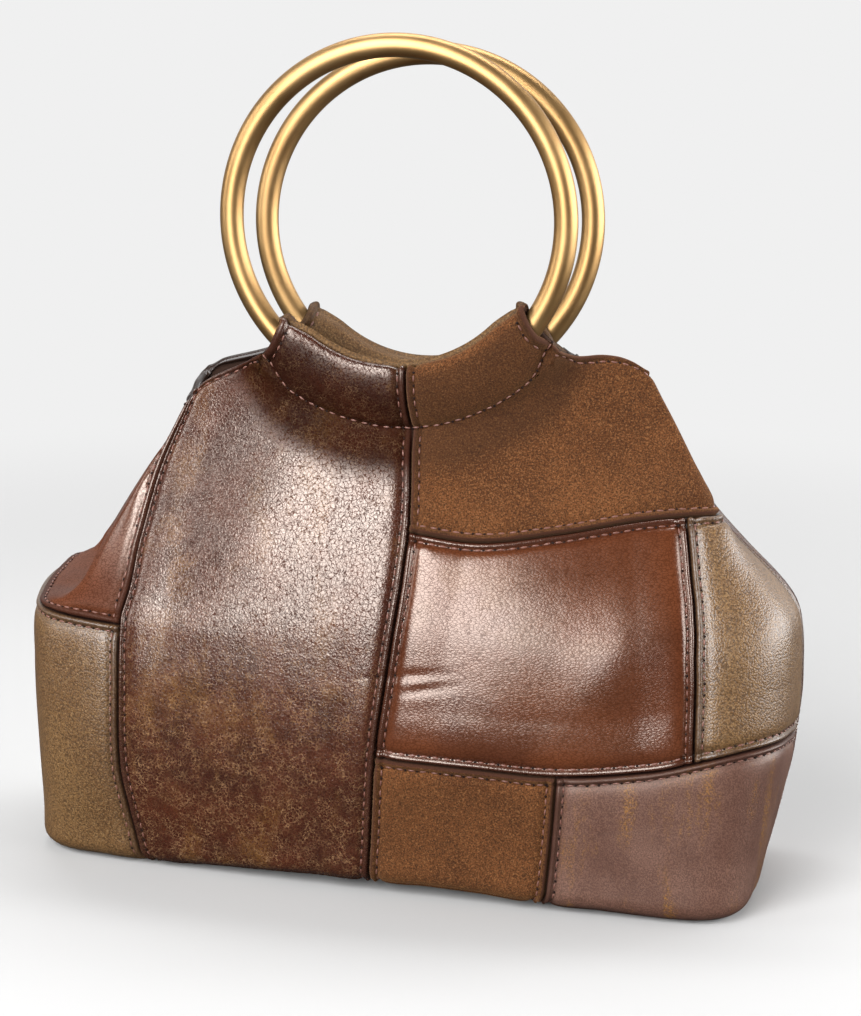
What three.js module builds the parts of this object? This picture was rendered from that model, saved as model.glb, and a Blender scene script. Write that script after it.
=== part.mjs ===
// A patchwork leather handbag with two metal ring handles.
// Millimetres, +Z up. The front faces -Y, +X is to the right seen from the front,
// and the origin is on the floor under the middle of the bag.
//
// The bag is a hollow form sewn from leather panels. A place on its wall is given by two
// numbers: the station, which runs round the bag, and the height. Station 0 is the middle of
// the front, 1 the front right crease, 2 the middle of the right side, 3 the rear right crease,
// 4 the middle of the back, and on round the left side to 8, which is 0 again. Negative
// stations go the other way: -1 is the front left crease.

import * as THREE from 'three';
import { mergeVertices } from 'three/addons/utils/BufferGeometryUtils.js';

// Leather
const LEATHER = 2;         // thickness of every panel
const SEAM_GAP = 1;        // clear space between the edges of two panels at a seam
const EDGE_RADIUS = 7;     // the walls turn under into the base with this round
const BASE_PROUD = 0.3;    // the base panel stands this far below the turned walls
const BASE_GAP = 1.3;      // clear space round the base panel
const EDGE_LIFT = 4;       // the lower edge rises off the floor between the corners
const LIFT_HEIGHT = 50;    // and this dies out up the wall
const LIFT_SHARE = 0.25;   // and within this share of the way across the base
const HALF_LENGTH = 150;

// Ring handles
const RING_RADIUS = 66;    // to the middle of the wire
const WIRE_RADIUS = 4.6;
const WIRE_SIDES = 12;
const RING_STEPS = 48;

// Sleeves: the tops of the panels fold over the lower arc of each ring
const SLEEVE_CLEAR = 0.7;                                     // wire to leather
const SLEEVE_RADIUS = WIRE_RADIUS + SLEEVE_CLEAR + LEATHER;   // outside of the fold
const SLEEVE_TOP = 11;          // the same above the wire, where the fold stands clear of it
const SLEEVE_END_TOP = 7.7;     // and at the sleeve's ends
const SLEEVE_SPREAD = 0.11;     // the crest reaches this share further round the ring than the stitches
const STITCH_DROP = 14.5;       // from the middle of the wire down to the sleeve's stitch line
const SLEEVE_END_RISE = 4.5;    // the stitch line climbs this far towards the sleeve's ends
const SLEEVE_END_ARC = 14;      // over this many degrees
const PANEL_PROUD = 2;          // outer face at the stitch line, in front of the ring's plane
const LAYER_GAP = 0.4;          // between the panel and the facing at the stitch line
const FOLD_START = -30;         // the fold round the wire, in degrees: 0 outward, 90 at the top
const FOLD_EDGE = 76;           // the panel ends here and the facing begins
const FOLD_END = 212;
const FOLD_STEPS = 5;
const SETTLE_REACH = 18;        // the wall settles to the ring's plane over this distance
const SETTLE_STATIONS = 0.3;    // and between the sleeve's end and the crease

// The two handles. The arc is measured round the ring from straight down, + to the right.
const HANDLES = {
  front: { outward: -1, x: -3.9, y: -23, z: 263.4, lean: 1.2, turn: -2 },
  back: { outward: 1, x: -0.4, y: 20, z: 258.3, lean: 4.5, turn: 2 },
};

// Level sections of the bag's outside, from the base to above the shoulders.
// left, right: half length to the creases; front, back: half depth at the middle;
// crease: half depth at the creases; cornerLeft, cornerRight: length of their round; soft: length
// of the round in the middle of the sides; foldLeft, foldRight: how far that middle is pushed in;
// leanLeft, leanRight: how far to the left of the front crease the rear one lies; skew: the
// right end of the section lies this far in front of its middle, and the left end behind it.
const SECTION_COLUMNS = ['height', 'left', 'right', 'front', 'back', 'crease', 'cornerLeft',
  'cornerRight', 'soft', 'foldLeft', 'foldRight', 'leanLeft', 'leanRight', 'skew'];
const SECTIONS = [
  [0, 152, 139, 53, 53, 47, 20, 20, 30, -3, -3, 0, 0, 10],
  [45, 150, 147, 58, 57, 50, 26, 26, 30, -6, -6, 2, 0, 3],
  [80, 149, 150, 59, 59, 49, 27, 27, 28, -7, -7, 6, 0, 0],
  [103, 147, 151, 58, 58, 45, 22, 24, 24, -6, -7.5, 13, 3, 0],
  [107, 143.6, 151, 57.6, 57.6, 43.4, 18, 23, 22, 0, -7.8, 14.6, 4.2, 0],
  [117, 129.5, 149.5, 56, 56, 39, 14, 20, 18, 22, -8, 17, 8, 0],
  [135, 121.5, 138.5, 51, 50, 30, 9, 15, 12, 30, -1.5, 11, 10, 0],
  [160, 107.8, 123.5, 39, 36, 19, 7, 9, 10, 28, 18, 6, 10, 0],
  [185, 93.5, 108, 28, 22, 13, 5, 5, 8, 4, 30, 3, 8, 0],
  [210, 82, 93.5, 26, 17, 10, 5, 5, 8, -8, 34, 2, 7, 0],
  [225, 76, 86, 26, 17, 9, 5, 5, 8, -8, 34, 2, 6, 0],
].map((row) => Object.fromEntries(row.map((value, i) => [SECTION_COLUMNS[i], value])));

// Upright seams: the station at each height
const CENTRE_SEAM = [
  { height: 0, station: -0.05 },
  { height: 58, station: -0.022 },
  { height: 103, station: 0.016 },
  { height: 149, station: 0.05 },
  { height: 185, station: 0.03 },
];
const LEFT_SEAM = [
  { height: 0, station: -0.695 },
  { height: 25, station: -0.73 },
  { height: 45, station: -0.753 },
  { height: 85, station: -0.751 },
  { height: 103, station: -0.75 },
  { height: 107, station: -0.763 },
  { height: 111, station: -0.797 },
  { height: 117, station: -0.826 },
  { height: 139, station: -0.877 },
  { height: 160, station: -0.942 },
  { height: 175, station: -0.972 },
  { height: 189, station: -0.985 },
];
const RIGHT_SEAM = [
  { height: 60, station: 0.828 },
  { height: 90, station: 0.812 },
  { height: 110, station: 0.799 },
  { height: 118, station: 0.801 },
  { height: 126, station: 0.817 },
  { height: 143, station: 0.859 },
  { height: 155, station: 0.893 },
];
const BACK_LEFT_SEAM = [
  { height: 0, station: 4.695 },
  { height: 65, station: 4.752 },
  { height: 103, station: 4.755 },
  { height: 107, station: 4.758 },
  { height: 139, station: 4.82 },
  { height: 189, station: 4.93 },
];
const LOWER_RIGHT_STATION = 0.468;
const BACK_LOWER_STATION = 4.1;
const CORNER_STATION = 0.82;    // where the round of a lower corner begins

// Level seams: the height at each station
const UPPER_SEAM = [
  { station: 0, height: 147.5 },
  { station: 0.25, height: 144.2 },
  { station: 0.49, height: 147.8 },
  { station: 0.75, height: 152.8 },
  { station: 1, height: 154.5 },
  { station: 2, height: 151 },
];
const LOWER_SEAM = [
  { station: -0.05, height: 59.6 },
  { station: 0.24, height: 57.6 },
  { station: 0.47, height: 56.3 },
  { station: 0.71, height: 60.3 },
  { station: 1, height: 69.5 },
  { station: 2, height: 65 },
];
const LEFT_RIM = [
  { station: -3.26, height: 103 },
  { station: -3, height: 105 },
  { station: -2, height: 106 },
  { station: -1, height: 105 },
  { station: -0.74, height: 103 },
];
const BACK_SEAM = [
  { station: 2, height: 65 },
  { station: 3, height: 77 },
  { station: 4, height: 89 },
  { station: 4.76, height: 103 },
];

// The free top edge all round: shoulders and side folds
const TOP_EDGE = [
  { station: -3.2, height: 204.4 },
  { station: -3.09, height: 201.8 },
  { station: -3.05, height: 200.5 },
  { station: -3.01, height: 197.9 },
  { station: -2.9, height: 196 },
  { station: -2.7, height: 194.6 },
  { station: -2.4, height: 193.8 },
  { station: -2, height: 192.8 },
  { station: -1.5, height: 190.2 },
  { station: -1, height: 189.5 },
  { station: -0.96, height: 194.3 },
  { station: -0.9, height: 198.6 },
  { station: -0.77, height: 205 },
  { station: -0.68, height: 209.5 },
  { station: 0.65, height: 219 },
  { station: 0.7, height: 214.5 },
  { station: 0.74, height: 212.8 },
  { station: 0.83, height: 213.3 },
  { station: 0.88, height: 213 },
  { station: 0.92, height: 212.2 },
  { station: 0.96, height: 210.4 },
  { station: 1, height: 207.5 },
  { station: 1.1, height: 204.8 },
  { station: 1.3, height: 203 },
  { station: 2, height: 199 },
  { station: 3, height: 202 },
  { station: 3.15, height: 203 },
  { station: 3.25, height: 204.8 },
  { station: 3.32, height: 207.5 },
  { station: 3.36, height: 210 },
  { station: 4.66, height: 210 },
  { station: 4.72, height: 206.6 },
  { station: 4.8, height: 204.4 },
  { station: 4.91, height: 201.8 },
  { station: 4.95, height: 200.5 },
  { station: 4.99, height: 197.9 },
  { station: 5, height: 197.2 },
];

// Lines that the ends of the sleeves follow down the panels
const SLEEVE_LEFT_END = [
  { height: 0, station: -0.45 },
  { height: 209, station: -0.69 },
];
const SLEEVE_RIGHT_END = [
  { height: 145, station: 0.45 },
  { height: 219, station: 0.66 },
];
const BACK_SLEEVE_RIGHT_END = [
  { height: 65, station: 3.5 },
  { height: 210, station: 3.35 },
];
const BACK_SLEEVE_LEFT_END = [
  { height: 95, station: 4.45 },
  { height: 210, station: 4.66 },
];

// Finishes
const FINISHES = {
  crackled: { color: '#5e3a2b', roughness: 0.35, metalness: 0 },
  suede: { color: '#7a4e30', roughness: 0.95, metalness: 0 },
  cognac: { color: '#7c432a', roughness: 0.45, metalness: 0 },
  olive: { color: '#86683f', roughness: 0.5, metalness: 0 },
  mauve: { color: '#7b5a4b', roughness: 0.4, metalness: 0 },
  base: { color: '#4a2d20', roughness: 0.6, metalness: 0 },
  gold: { color: '#b08d4e', roughness: 0.32, metalness: 1 },
};

const lerp = THREE.MathUtils.lerp;
const radians = THREE.MathUtils.degToRad;

function smooth(value) {
  const t = THREE.MathUtils.clamp(value, 0, 1);
  return t * t * (3 - 2 * t);
}

// One row of a table at any place along its key column, on a smooth curve through the rows
function readTable(table, key, place) {
  const last = table.length - 1;
  const at = THREE.MathUtils.clamp(place, table[0][key], table[last][key]);
  let i = 0;
  while (i < last - 1 && at > table[i + 1][key]) i += 1;
  const slope = (k, column) => {
    const before = table[Math.max(k - 1, 0)];
    const after = table[Math.min(k + 1, last)];
    return (after[column] - before[column]) / (after[key] - before[key]);
  };
  const span = table[i + 1][key] - table[i][key];
  const u = (at - table[i][key]) / span;
  const row = {};
  for (const column of Object.keys(table[0])) {
    const start = table[i][column];
    const end = table[i + 1][column];
    const ease = 3 * u ** 2 - 2 * u ** 3;
    const leave = (u ** 3 - 2 * u ** 2 + u) * span * slope(i, column);
    const arrive = (u ** 3 - u ** 2) * span * slope(i + 1, column);
    row[column] = lerp(start, end, ease) + leave + arrive;
  }
  return row;
}

const stationOf = (table) => (height) => readTable(table, 'height', height).station;
const heightOf = (table) => (station) => readTable(table, 'station', station).height;

// A quarter of a level section, from the middle of the front (or back) to the middle of a side,
// as two stretches that meet at the crease
function quarterSection(height, side, rear, inset) {
  const FACE_POINTS = 24;
  const ROUND_POINTS = 6;
  const ROUND_SHARE = 0.48;   // the most of a side's half that one round takes
  const row = readTable(SECTIONS, 'height', height);
  const half = (side < 0 ? row.left : row.right) - inset;
  const lean = side < 0 ? row.leanLeft : row.leanRight;
  const fold = side < 0 ? row.foldLeft : row.foldRight;
  const cornerReach = side < 0 ? row.cornerLeft : row.cornerRight;
  const length = rear ? half - side * lean : half;
  const depth = (rear ? row.back : row.front) - inset;
  const crease = row.crease - inset;
  const faceAt = (x) => new THREE.Vector2(x, crease + (depth - crease) * (1 - (x / length) ** 2));
  const corner = new THREE.Vector2(length, crease);
  const otherCorner = new THREE.Vector2(rear ? half : half - side * lean, -crease);
  const sideMiddle = new THREE.Vector2(half - fold - side * lean / 2, 0);
  const towards = (from, to, reach) => {
    const share = Math.min(reach / from.distanceTo(to), ROUND_SHARE);
    return from.clone().lerp(to, share);
  };
  const cornerEnd = towards(corner, sideMiddle, cornerReach);
  const softStart = towards(sideMiddle, corner, row.soft);
  const softEnd = towards(sideMiddle, otherCorner, row.soft);
  const cornerRound = new THREE.QuadraticBezierCurve(faceAt(length - cornerReach), corner, cornerEnd);
  const softRound = new THREE.QuadraticBezierCurve(softStart, sideMiddle, softEnd);
  const face = [];
  for (let i = 0; i < FACE_POINTS; i += 1) face.push(faceAt((length - cornerReach) * i / FACE_POINTS));
  for (let i = 0; i <= ROUND_POINTS; i += 1) face.push(cornerRound.getPoint(0.5 * i / ROUND_POINTS));
  const flank = [];
  for (let i = 0; i <= ROUND_POINTS; i += 1) flank.push(cornerRound.getPoint(0.5 + 0.5 * i / ROUND_POINTS));
  for (let i = 0; i <= ROUND_POINTS; i += 1) flank.push(softRound.getPoint(0.5 * i / ROUND_POINTS));
  return { face, flank, skew: row.skew / HALF_LENGTH };
}

// The point a given share of the way along a run of points
function along(points, share) {
  const lengths = [0];
  for (let i = 1; i < points.length; i += 1) {
    lengths.push(lengths[i - 1] + points[i].distanceTo(points[i - 1]));
  }
  const target = share * lengths[points.length - 1];
  let i = 1;
  while (i < points.length - 1 && lengths[i] < target) i += 1;
  const part = (target - lengths[i - 1]) / Math.max(lengths[i] - lengths[i - 1], 1e-9);
  return points[i - 1].clone().lerp(points[i], part);
}

// A place in a ring's own frame: angle round the ring, distance from its middle, and height
// above its plane on the outward side
function ringFrame(handle) {
  const turn = radians(handle.turn);
  const lean = radians(handle.lean);
  const across = new THREE.Vector3(Math.cos(turn), Math.sin(turn), 0);
  const backward = new THREE.Vector3(-Math.sin(turn), Math.cos(turn), 0);
  const up = new THREE.Vector3(0, 0, Math.cos(lean)).addScaledVector(backward, Math.sin(lean));
  const outward = new THREE.Vector3().crossVectors(up, across).multiplyScalar(handle.outward);
  return { middle: new THREE.Vector3(handle.x, handle.y, handle.z), across, up, outward };
}

function ringPoint(handle, angle, radius, proud) {
  const { middle, across, up, outward } = ringFrame(handle);
  return middle.clone()
    .addScaledVector(across, radius * Math.sin(angle))
    .addScaledVector(up, -radius * Math.cos(angle))
    .addScaledVector(outward, proud);
}

function ringPlace(handle, point) {
  const { middle, across, up } = ringFrame(handle);
  const offset = point.clone().sub(middle);
  const sideways = offset.dot(across);
  const drop = -offset.dot(up);
  return { angle: Math.atan2(sideways, drop), radius: Math.hypot(sideways, drop) };
}

// Near a sleeve the wall settles to just outside the ring's plane
function settleToRing(point, handle, fromMiddle) {
  const stitch = RING_RADIUS + STITCH_DROP;
  const { angle, radius } = ringPlace(handle, point);
  const closeness = smooth((stitch + SETTLE_REACH - radius) / SETTLE_REACH);
  const share = closeness * smooth((1 - fromMiddle) / SETTLE_STATIONS);
  point.y = lerp(point.y, ringPoint(handle, angle, radius, PANEL_PROUD).y, share);
  return point;
}

// How far the lower edge of the front and back rises between the corners
function edgeLift(fromMiddle, level) {
  return EDGE_LIFT * smooth(1 - fromMiddle) * smooth(1 - level / LIFT_HEIGHT);
}

// A point on the outside of the bag
function wallPoint(station, height) {
  const round = station > 4 ? station - 8 : station;
  const side = round < 0 ? -1 : 1;
  const rear = Math.abs(round) > 2;
  const fromMiddle = rear ? 4 - Math.abs(round) : Math.abs(round);
  const under = Math.PI / 2 * THREE.MathUtils.clamp(1 - height / EDGE_RADIUS, 0, 1);
  const inset = EDGE_RADIUS * (1 - Math.cos(under));
  const level = height < EDGE_RADIUS ? EDGE_RADIUS * (1 - Math.sin(under)) : height;
  const { face, flank, skew } = quarterSection(level, side, rear, inset);
  const place = fromMiddle <= 1 ? along(face, fromMiddle) : along(flank, fromMiddle - 1);
  const x = side * place.x;
  const y = (rear ? 1 : -1) * place.y - skew * x;
  const point = new THREE.Vector3(x, y, level + BASE_PROUD + edgeLift(fromMiddle, level));
  if (fromMiddle >= 1) return point;
  return settleToRing(point, rear ? HANDLES.back : HANDLES.front, fromMiddle);
}

function wallNormal(station, height) {
  const STATION_STEP = 0.01;
  const HEIGHT_STEP = 0.5;
  const round = wallPoint(station + STATION_STEP, height).sub(wallPoint(station - STATION_STEP, height));
  const low = Math.max(height - HEIGHT_STEP, 0);
  const rise = wallPoint(station, height + HEIGHT_STEP).sub(wallPoint(station, low));
  return round.cross(rise).normalize();
}

// Stations in a millimetre of wall
function stationsPerMm(station, height) {
  const STATION_STEP = 0.01;
  const ahead = wallPoint(station + STATION_STEP, height);
  const behind = wallPoint(station - STATION_STEP, height);
  return 2 * STATION_STEP / ahead.distanceTo(behind);
}

// The sleeve's stitch line is an arc round the ring that climbs a little at its ends
function stitchRadius(handle, angle) {
  const fromEnd = Math.min(angle - handle.arc[0], handle.arc[1] - angle);
  const climb = 1 - smooth(fromEnd / radians(SLEEVE_END_ARC));
  return RING_RADIUS + STITCH_DROP - SLEEVE_END_RISE * climb;
}

function stitchHeight(handle, station) {
  let height = handle.z - RING_RADIUS - STITCH_DROP;
  for (let i = 0; i < 8; i += 1) {
    const { angle } = ringPlace(handle, wallPoint(station, height));
    height = ringPoint(handle, angle, stitchRadius(handle, angle), 0).z - BASE_PROUD;
  }
  return height;
}

// The arc that each sleeve covers, from where its end lines reach the top edge
function setSleeveArc(handle, endLines) {
  const angles = endLines.map((line) => {
    const end = line[line.length - 1];
    return ringPlace(handle, wallPoint(end.station, end.height)).angle;
  });
  handle.arc = [Math.min(...angles), Math.max(...angles)];
}

// A point on the fold of a sleeve round the wire, in line with a place on the stitch line, at a
// given depth under the outside of the leather
function foldPoint(handle, angle, degrees, depth) {
  const fold = radians(degrees);
  const fromEnd = Math.min(angle - handle.arc[0], handle.arc[1] - angle);
  const top = lerp(SLEEVE_END_TOP, SLEEVE_TOP, smooth(fromEnd / radians(SLEEVE_END_ARC)));
  const rise = Math.sin(fold) * ((Math.sin(fold) > 0 ? top : SLEEVE_RADIUS) - depth);
  const climb = (degrees - FOLD_START) / (FOLD_EDGE - FOLD_START);
  const descent = (FOLD_END - degrees) / (FOLD_END - FOLD_EDGE);
  const spread = 1 + SLEEVE_SPREAD * Math.min(climb, descent);
  return ringPoint(handle, angle * spread, RING_RADIUS - rise, Math.cos(fold) * (SLEEVE_RADIUS - depth));
}

function evenSteps(start, end, steps) {
  return Array.from({ length: steps + 1 }, (unused, i) => lerp(start, end, i / steps));
}

// A closed leather sheet from matching columns of outer and inner points. A column may be
// longer than its neighbour, where a tab stands up from the panel's edge.
function sheetGeometry(outer, inner) {
  const positions = [];
  const starts = outer.map((column, i) => {
    const start = positions.length / 3;
    for (const point of column) positions.push(point.x, point.y, point.z);
    for (const point of inner[i]) positions.push(point.x, point.y, point.z);
    return start;
  });
  const has = (i, j) => i >= 0 && j >= 0 && i + 1 < outer.length
    && j + 1 < Math.min(outer[i].length, outer[i + 1].length);
  const top = (i, j) => starts[i] + j;
  const under = (i, j) => starts[i] + outer[i].length + j;
  const faces = [];
  for (let i = 0; i + 1 < outer.length; i += 1) {
    for (let j = 0; has(i, j); j += 1) {
      const ring = [[i, j], [i + 1, j], [i + 1, j + 1], [i, j + 1]];
      const [a, b, c, d] = ring.map((place) => top(...place));
      const [e, f, g, h] = ring.map((place) => under(...place));
      faces.push(a, b, c, a, c, d, e, g, f, e, h, g);
      const neighbours = [[i, j - 1], [i + 1, j], [i, j + 1], [i - 1, j]];
      neighbours.forEach((place, k) => {
        if (has(...place)) return;
        const from = ring[k];
        const to = ring[(k + 1) % ring.length];
        faces.push(top(...to), top(...from), under(...from), top(...to), under(...from), under(...to));
      });
    }
  }
  const geometry = new THREE.BufferGeometry();
  geometry.setAttribute('position', new THREE.Float32BufferAttribute(positions, 3));
  geometry.setIndex(faces);
  geometry.computeVertexNormals();
  return geometry;
}

// The heights of a column's points. A panel that reaches the base has extra ones in its turn.
function columnHeights(low, high, rows) {
  if (low > 0) return Array.from({ length: rows + 1 }, (unused, j) => lerp(low, high, j / rows));
  const TURN_STEPS = 2;
  const turn = Array.from({ length: TURN_STEPS }, (unused, j) => EDGE_RADIUS * j / TURN_STEPS);
  const rest = Array.from({ length: rows + 1 }, (unused, j) => lerp(EDGE_RADIUS, high, j / rows));
  return turn.concat(rest);
}

// A panel lies between upright lines and between a bottom and a top line. Its columns follow
// the upright lines, with the given number of steps from each line to the next. Where it has a
// sleeve, the columns between two of those lines go on up and fold over the ring.
function panelGeometry({ uprights, steps, bottom, top, rows, sleeve }) {
  const columns = [];
  uprights.slice(1).forEach((line, k) => {
    for (let i = k === 0 ? 0 : 1; i <= steps[k]; i += 1) columns.push({ k, mix: i / steps[k] });
  });
  const outer = [];
  const inner = [];
  columns.forEach(({ k, mix }, i) => {
    const trim = (i === 0 ? 1 : 0) - (i === columns.length - 1 ? 1 : 0);
    const stationAt = (height) => {
      const station = lerp(uprights[k](height), uprights[k + 1](height), mix);
      return station + trim * SEAM_GAP / 2 * stationsPerMm(station, height);
    };
    const reach = k + mix;
    const folded = sleeve && reach >= sleeve.between[0] && reach <= sleeve.between[1];
    const settle = (line, start) => {
      let height = start;
      for (let n = 0; n < 6; n += 1) height = line(stationAt(height));
      return height;
    };
    const low = bottom ? settle(bottom, 90) + SEAM_GAP / 2 : 0;
    const topLine = folded ? (station) => stitchHeight(sleeve.handle, station) : top.line;
    const high = settle(topLine, 190) - (top.sewn ? SEAM_GAP / 2 : 0);
    const heights = columnHeights(low, high, rows);
    const wall = heights.map((height) => wallPoint(stationAt(height), height));
    const back = heights.map((height, j) => {
      const normal = wallNormal(stationAt(height), height);
      return wall[j].clone().addScaledVector(normal, -LEATHER);
    });
    if (folded) {
      const { angle } = ringPlace(sleeve.handle, wall[wall.length - 1]);
      for (const degrees of evenSteps(FOLD_START, FOLD_EDGE, FOLD_STEPS)) {
        wall.push(foldPoint(sleeve.handle, angle, degrees, 0));
        back.push(foldPoint(sleeve.handle, angle, degrees, LEATHER));
      }
    }
    outer.push(wall);
    inner.push(back);
  });
  return sheetGeometry(outer, inner);
}

// The facing closes a sleeve on the inside: from the panel's edge on top of the wire, down to
// the stitch line behind the panel
function facingGeometry(handle) {
  const ARC_STEPS = 14;
  const FOLD_CLEARANCE = 5;   // degrees of the fold between the panel's edge and the facing
  const behind = PANEL_PROUD - LEATHER - LAYER_GAP;
  const [left, right] = handle.arc;
  const angles = evenSteps(left, right, ARC_STEPS);
  if (handle.outward > 0) angles.reverse();
  const folds = evenSteps(FOLD_EDGE + FOLD_CLEARANCE, FOLD_END, FOLD_STEPS + 1);
  const sheet = (depth, lowest) => angles.map((angle) => {
    const column = folds.map((degrees) => foldPoint(handle, angle, degrees, depth));
    column.push(ringPoint(handle, angle, stitchRadius(handle, angle), lowest));
    return column;
  });
  return sheetGeometry(sheet(0, behind - LEATHER), sheet(LEATHER, behind));
}

// The base inside the turned edges of the walls. It lies flat on the floor, and its long edges
// rise with the walls. Its columns run from the front edge to the back.
function baseGeometry() {
  const COLUMNS = 30;
  const LAST_STATION = 1.88;
  const ROW_SHARES = [0, 0.08, 0.17, 0.25, 0.5, 0.75, 0.83, 0.92, 1];
  const rim = (station) => {
    const edge = wallPoint(station, 0);
    const outward = wallNormal(station, EDGE_RADIUS).setZ(0).normalize();
    return edge.addScaledVector(outward, -BASE_GAP).setZ(edge.z - BASE_PROUD);
  };
  const columns = evenSteps(LAST_STATION, -LAST_STATION, COLUMNS).map((station) => {
    const front = rim(station);
    const back = rim(4 - station);
    return ROW_SHARES.map((share) => {
      const point = front.clone().lerp(back, share);
      const rise = smooth(1 - share / LIFT_SHARE) * front.z + smooth(1 - (1 - share) / LIFT_SHARE) * back.z;
      return point.setZ(rise);
    });
  });
  const upper = columns.map((column) => column.map((point) => point.clone().setZ(point.z + LEATHER)));
  return sheetGeometry(columns, upper);
}

function ringGeometry() {
  const geometry = new THREE.TorusGeometry(RING_RADIUS, WIRE_RADIUS, WIRE_SIDES, RING_STEPS);
  geometry.deleteAttribute('uv');
  geometry.deleteAttribute('normal');
  return mergeVertices(geometry, 1e-4);
}

function piece(name, finish, geometry) {
  const mesh = new THREE.Mesh(geometry, new THREE.MeshStandardMaterial(FINISHES[finish]));
  mesh.name = name;
  return mesh;
}

function ring(name, handle) {
  const mesh = piece(name, 'gold', ringGeometry());
  const { middle, across, up } = ringFrame(handle);
  const axis = new THREE.Vector3().crossVectors(across, up);
  mesh.quaternion.setFromRotationMatrix(new THREE.Matrix4().makeBasis(across, up, axis));
  mesh.position.copy(middle);
  return mesh;
}

const at = (station) => () => station;
const centreSeam = stationOf(CENTRE_SEAM);
const leftSeam = stationOf(LEFT_SEAM);
const rightSeam = stationOf(RIGHT_SEAM);
const backLeftSeam = stationOf(BACK_LEFT_SEAM);
const backLeftSeamFromLeft = (height) => backLeftSeam(height) - 8;
const freeTop = { line: heightOf(TOP_EDGE), sewn: false };
const sewnTo = (table) => ({ line: heightOf(table), sewn: true });

setSleeveArc(HANDLES.front, [SLEEVE_LEFT_END, SLEEVE_RIGHT_END]);
setSleeveArc(HANDLES.back, [BACK_SLEEVE_RIGHT_END, BACK_SLEEVE_LEFT_END]);

const bag = new THREE.Group();
bag.name = 'patchwork_handbag';

bag.add(piece('front_left_panel', 'crackled', panelGeometry({
  uprights: [leftSeam, stationOf(SLEEVE_LEFT_END), centreSeam],
  steps: [3, 7],
  top: freeTop,
  rows: 17,
  sleeve: { handle: HANDLES.front, between: [1, 2] },
})));

bag.add(piece('front_upper_right_panel', 'suede', panelGeometry({
  uprights: [centreSeam, stationOf(SLEEVE_RIGHT_END), at(1), at(2)],
  steps: [7, 4, 6],
  bottom: heightOf(UPPER_SEAM),
  top: freeTop,
  rows: 6,
  sleeve: { handle: HANDLES.front, between: [0, 1] },
})));

bag.add(piece('front_middle_panel', 'cognac', panelGeometry({
  uprights: [centreSeam, rightSeam],
  steps: [8],
  bottom: heightOf(LOWER_SEAM),
  top: sewnTo(UPPER_SEAM),
  rows: 8,
})));

bag.add(piece('right_side_panel', 'olive', panelGeometry({
  uprights: [rightSeam, at(1), at(2)],
  steps: [3, 6],
  bottom: heightOf(LOWER_SEAM),
  top: sewnTo(UPPER_SEAM),
  rows: 8,
})));

bag.add(piece('front_lower_panel', 'suede', panelGeometry({
  uprights: [centreSeam, at(LOWER_RIGHT_STATION)],
  steps: [5],
  top: sewnTo(LOWER_SEAM),
  rows: 4,
})));

bag.add(piece('right_lower_panel', 'mauve', panelGeometry({
  uprights: [at(LOWER_RIGHT_STATION), at(CORNER_STATION), at(1), at(2)],
  steps: [3, 3, 6],
  top: sewnTo(LOWER_SEAM),
  rows: 4,
})));

bag.add(piece('left_side_panel', 'olive', panelGeometry({
  uprights: [backLeftSeamFromLeft, at(-3), at(-2), at(-1), leftSeam],
  steps: [3, 6, 6, 3],
  top: sewnTo(LEFT_RIM),
  rows: 6,
})));

bag.add(piece('left_gusset', 'cognac', panelGeometry({
  uprights: [backLeftSeamFromLeft, at(-3), at(-2), at(-1), leftSeam],
  steps: [3, 6, 6, 3],
  bottom: heightOf(LEFT_RIM),
  top: freeTop,
  rows: 8,
})));

bag.add(piece('back_upper_panel', 'crackled', panelGeometry({
  uprights: [at(2), at(3), stationOf(BACK_SLEEVE_RIGHT_END), stationOf(BACK_SLEEVE_LEFT_END), backLeftSeam],
  steps: [6, 4, 12, 4],
  bottom: heightOf(BACK_SEAM),
  top: freeTop,
  rows: 8,
  sleeve: { handle: HANDLES.back, between: [2, 3] },
})));

bag.add(piece('back_lower_right_panel', 'cognac', panelGeometry({
  uprights: [at(2), at(3), at(4 - CORNER_STATION), at(BACK_LOWER_STATION)],
  steps: [6, 3, 5],
  top: sewnTo(BACK_SEAM),
  rows: 5,
})));

bag.add(piece('back_lower_left_panel', 'suede', panelGeometry({
  uprights: [at(BACK_LOWER_STATION), backLeftSeam],
  steps: [5],
  top: sewnTo(BACK_SEAM),
  rows: 5,
})));

bag.add(piece('front_sleeve_facing', 'olive', facingGeometry(HANDLES.front)));
bag.add(piece('back_sleeve_facing', 'olive', facingGeometry(HANDLES.back)));
bag.add(piece('base_panel', 'base', baseGeometry()));
bag.add(ring('front_ring', HANDLES.front));
bag.add(ring('back_ring', HANDLES.back));

export default bag;
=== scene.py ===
"""The looks of a patchwork leather handbag with two ring handles.

Lengths are millimetres until a mesh is made, and metres from there on. A place on the bag's wall
is a station and a height. Station 0 is the middle of the front, 1 the front right crease, 2 the
middle of the right side, 3 the rear right crease and 4 the middle of the back. Negative stations
run round by the left, and 8 is 0 again.
"""

import math

import bpy
import numpy as np
from mathutils import Matrix


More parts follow.
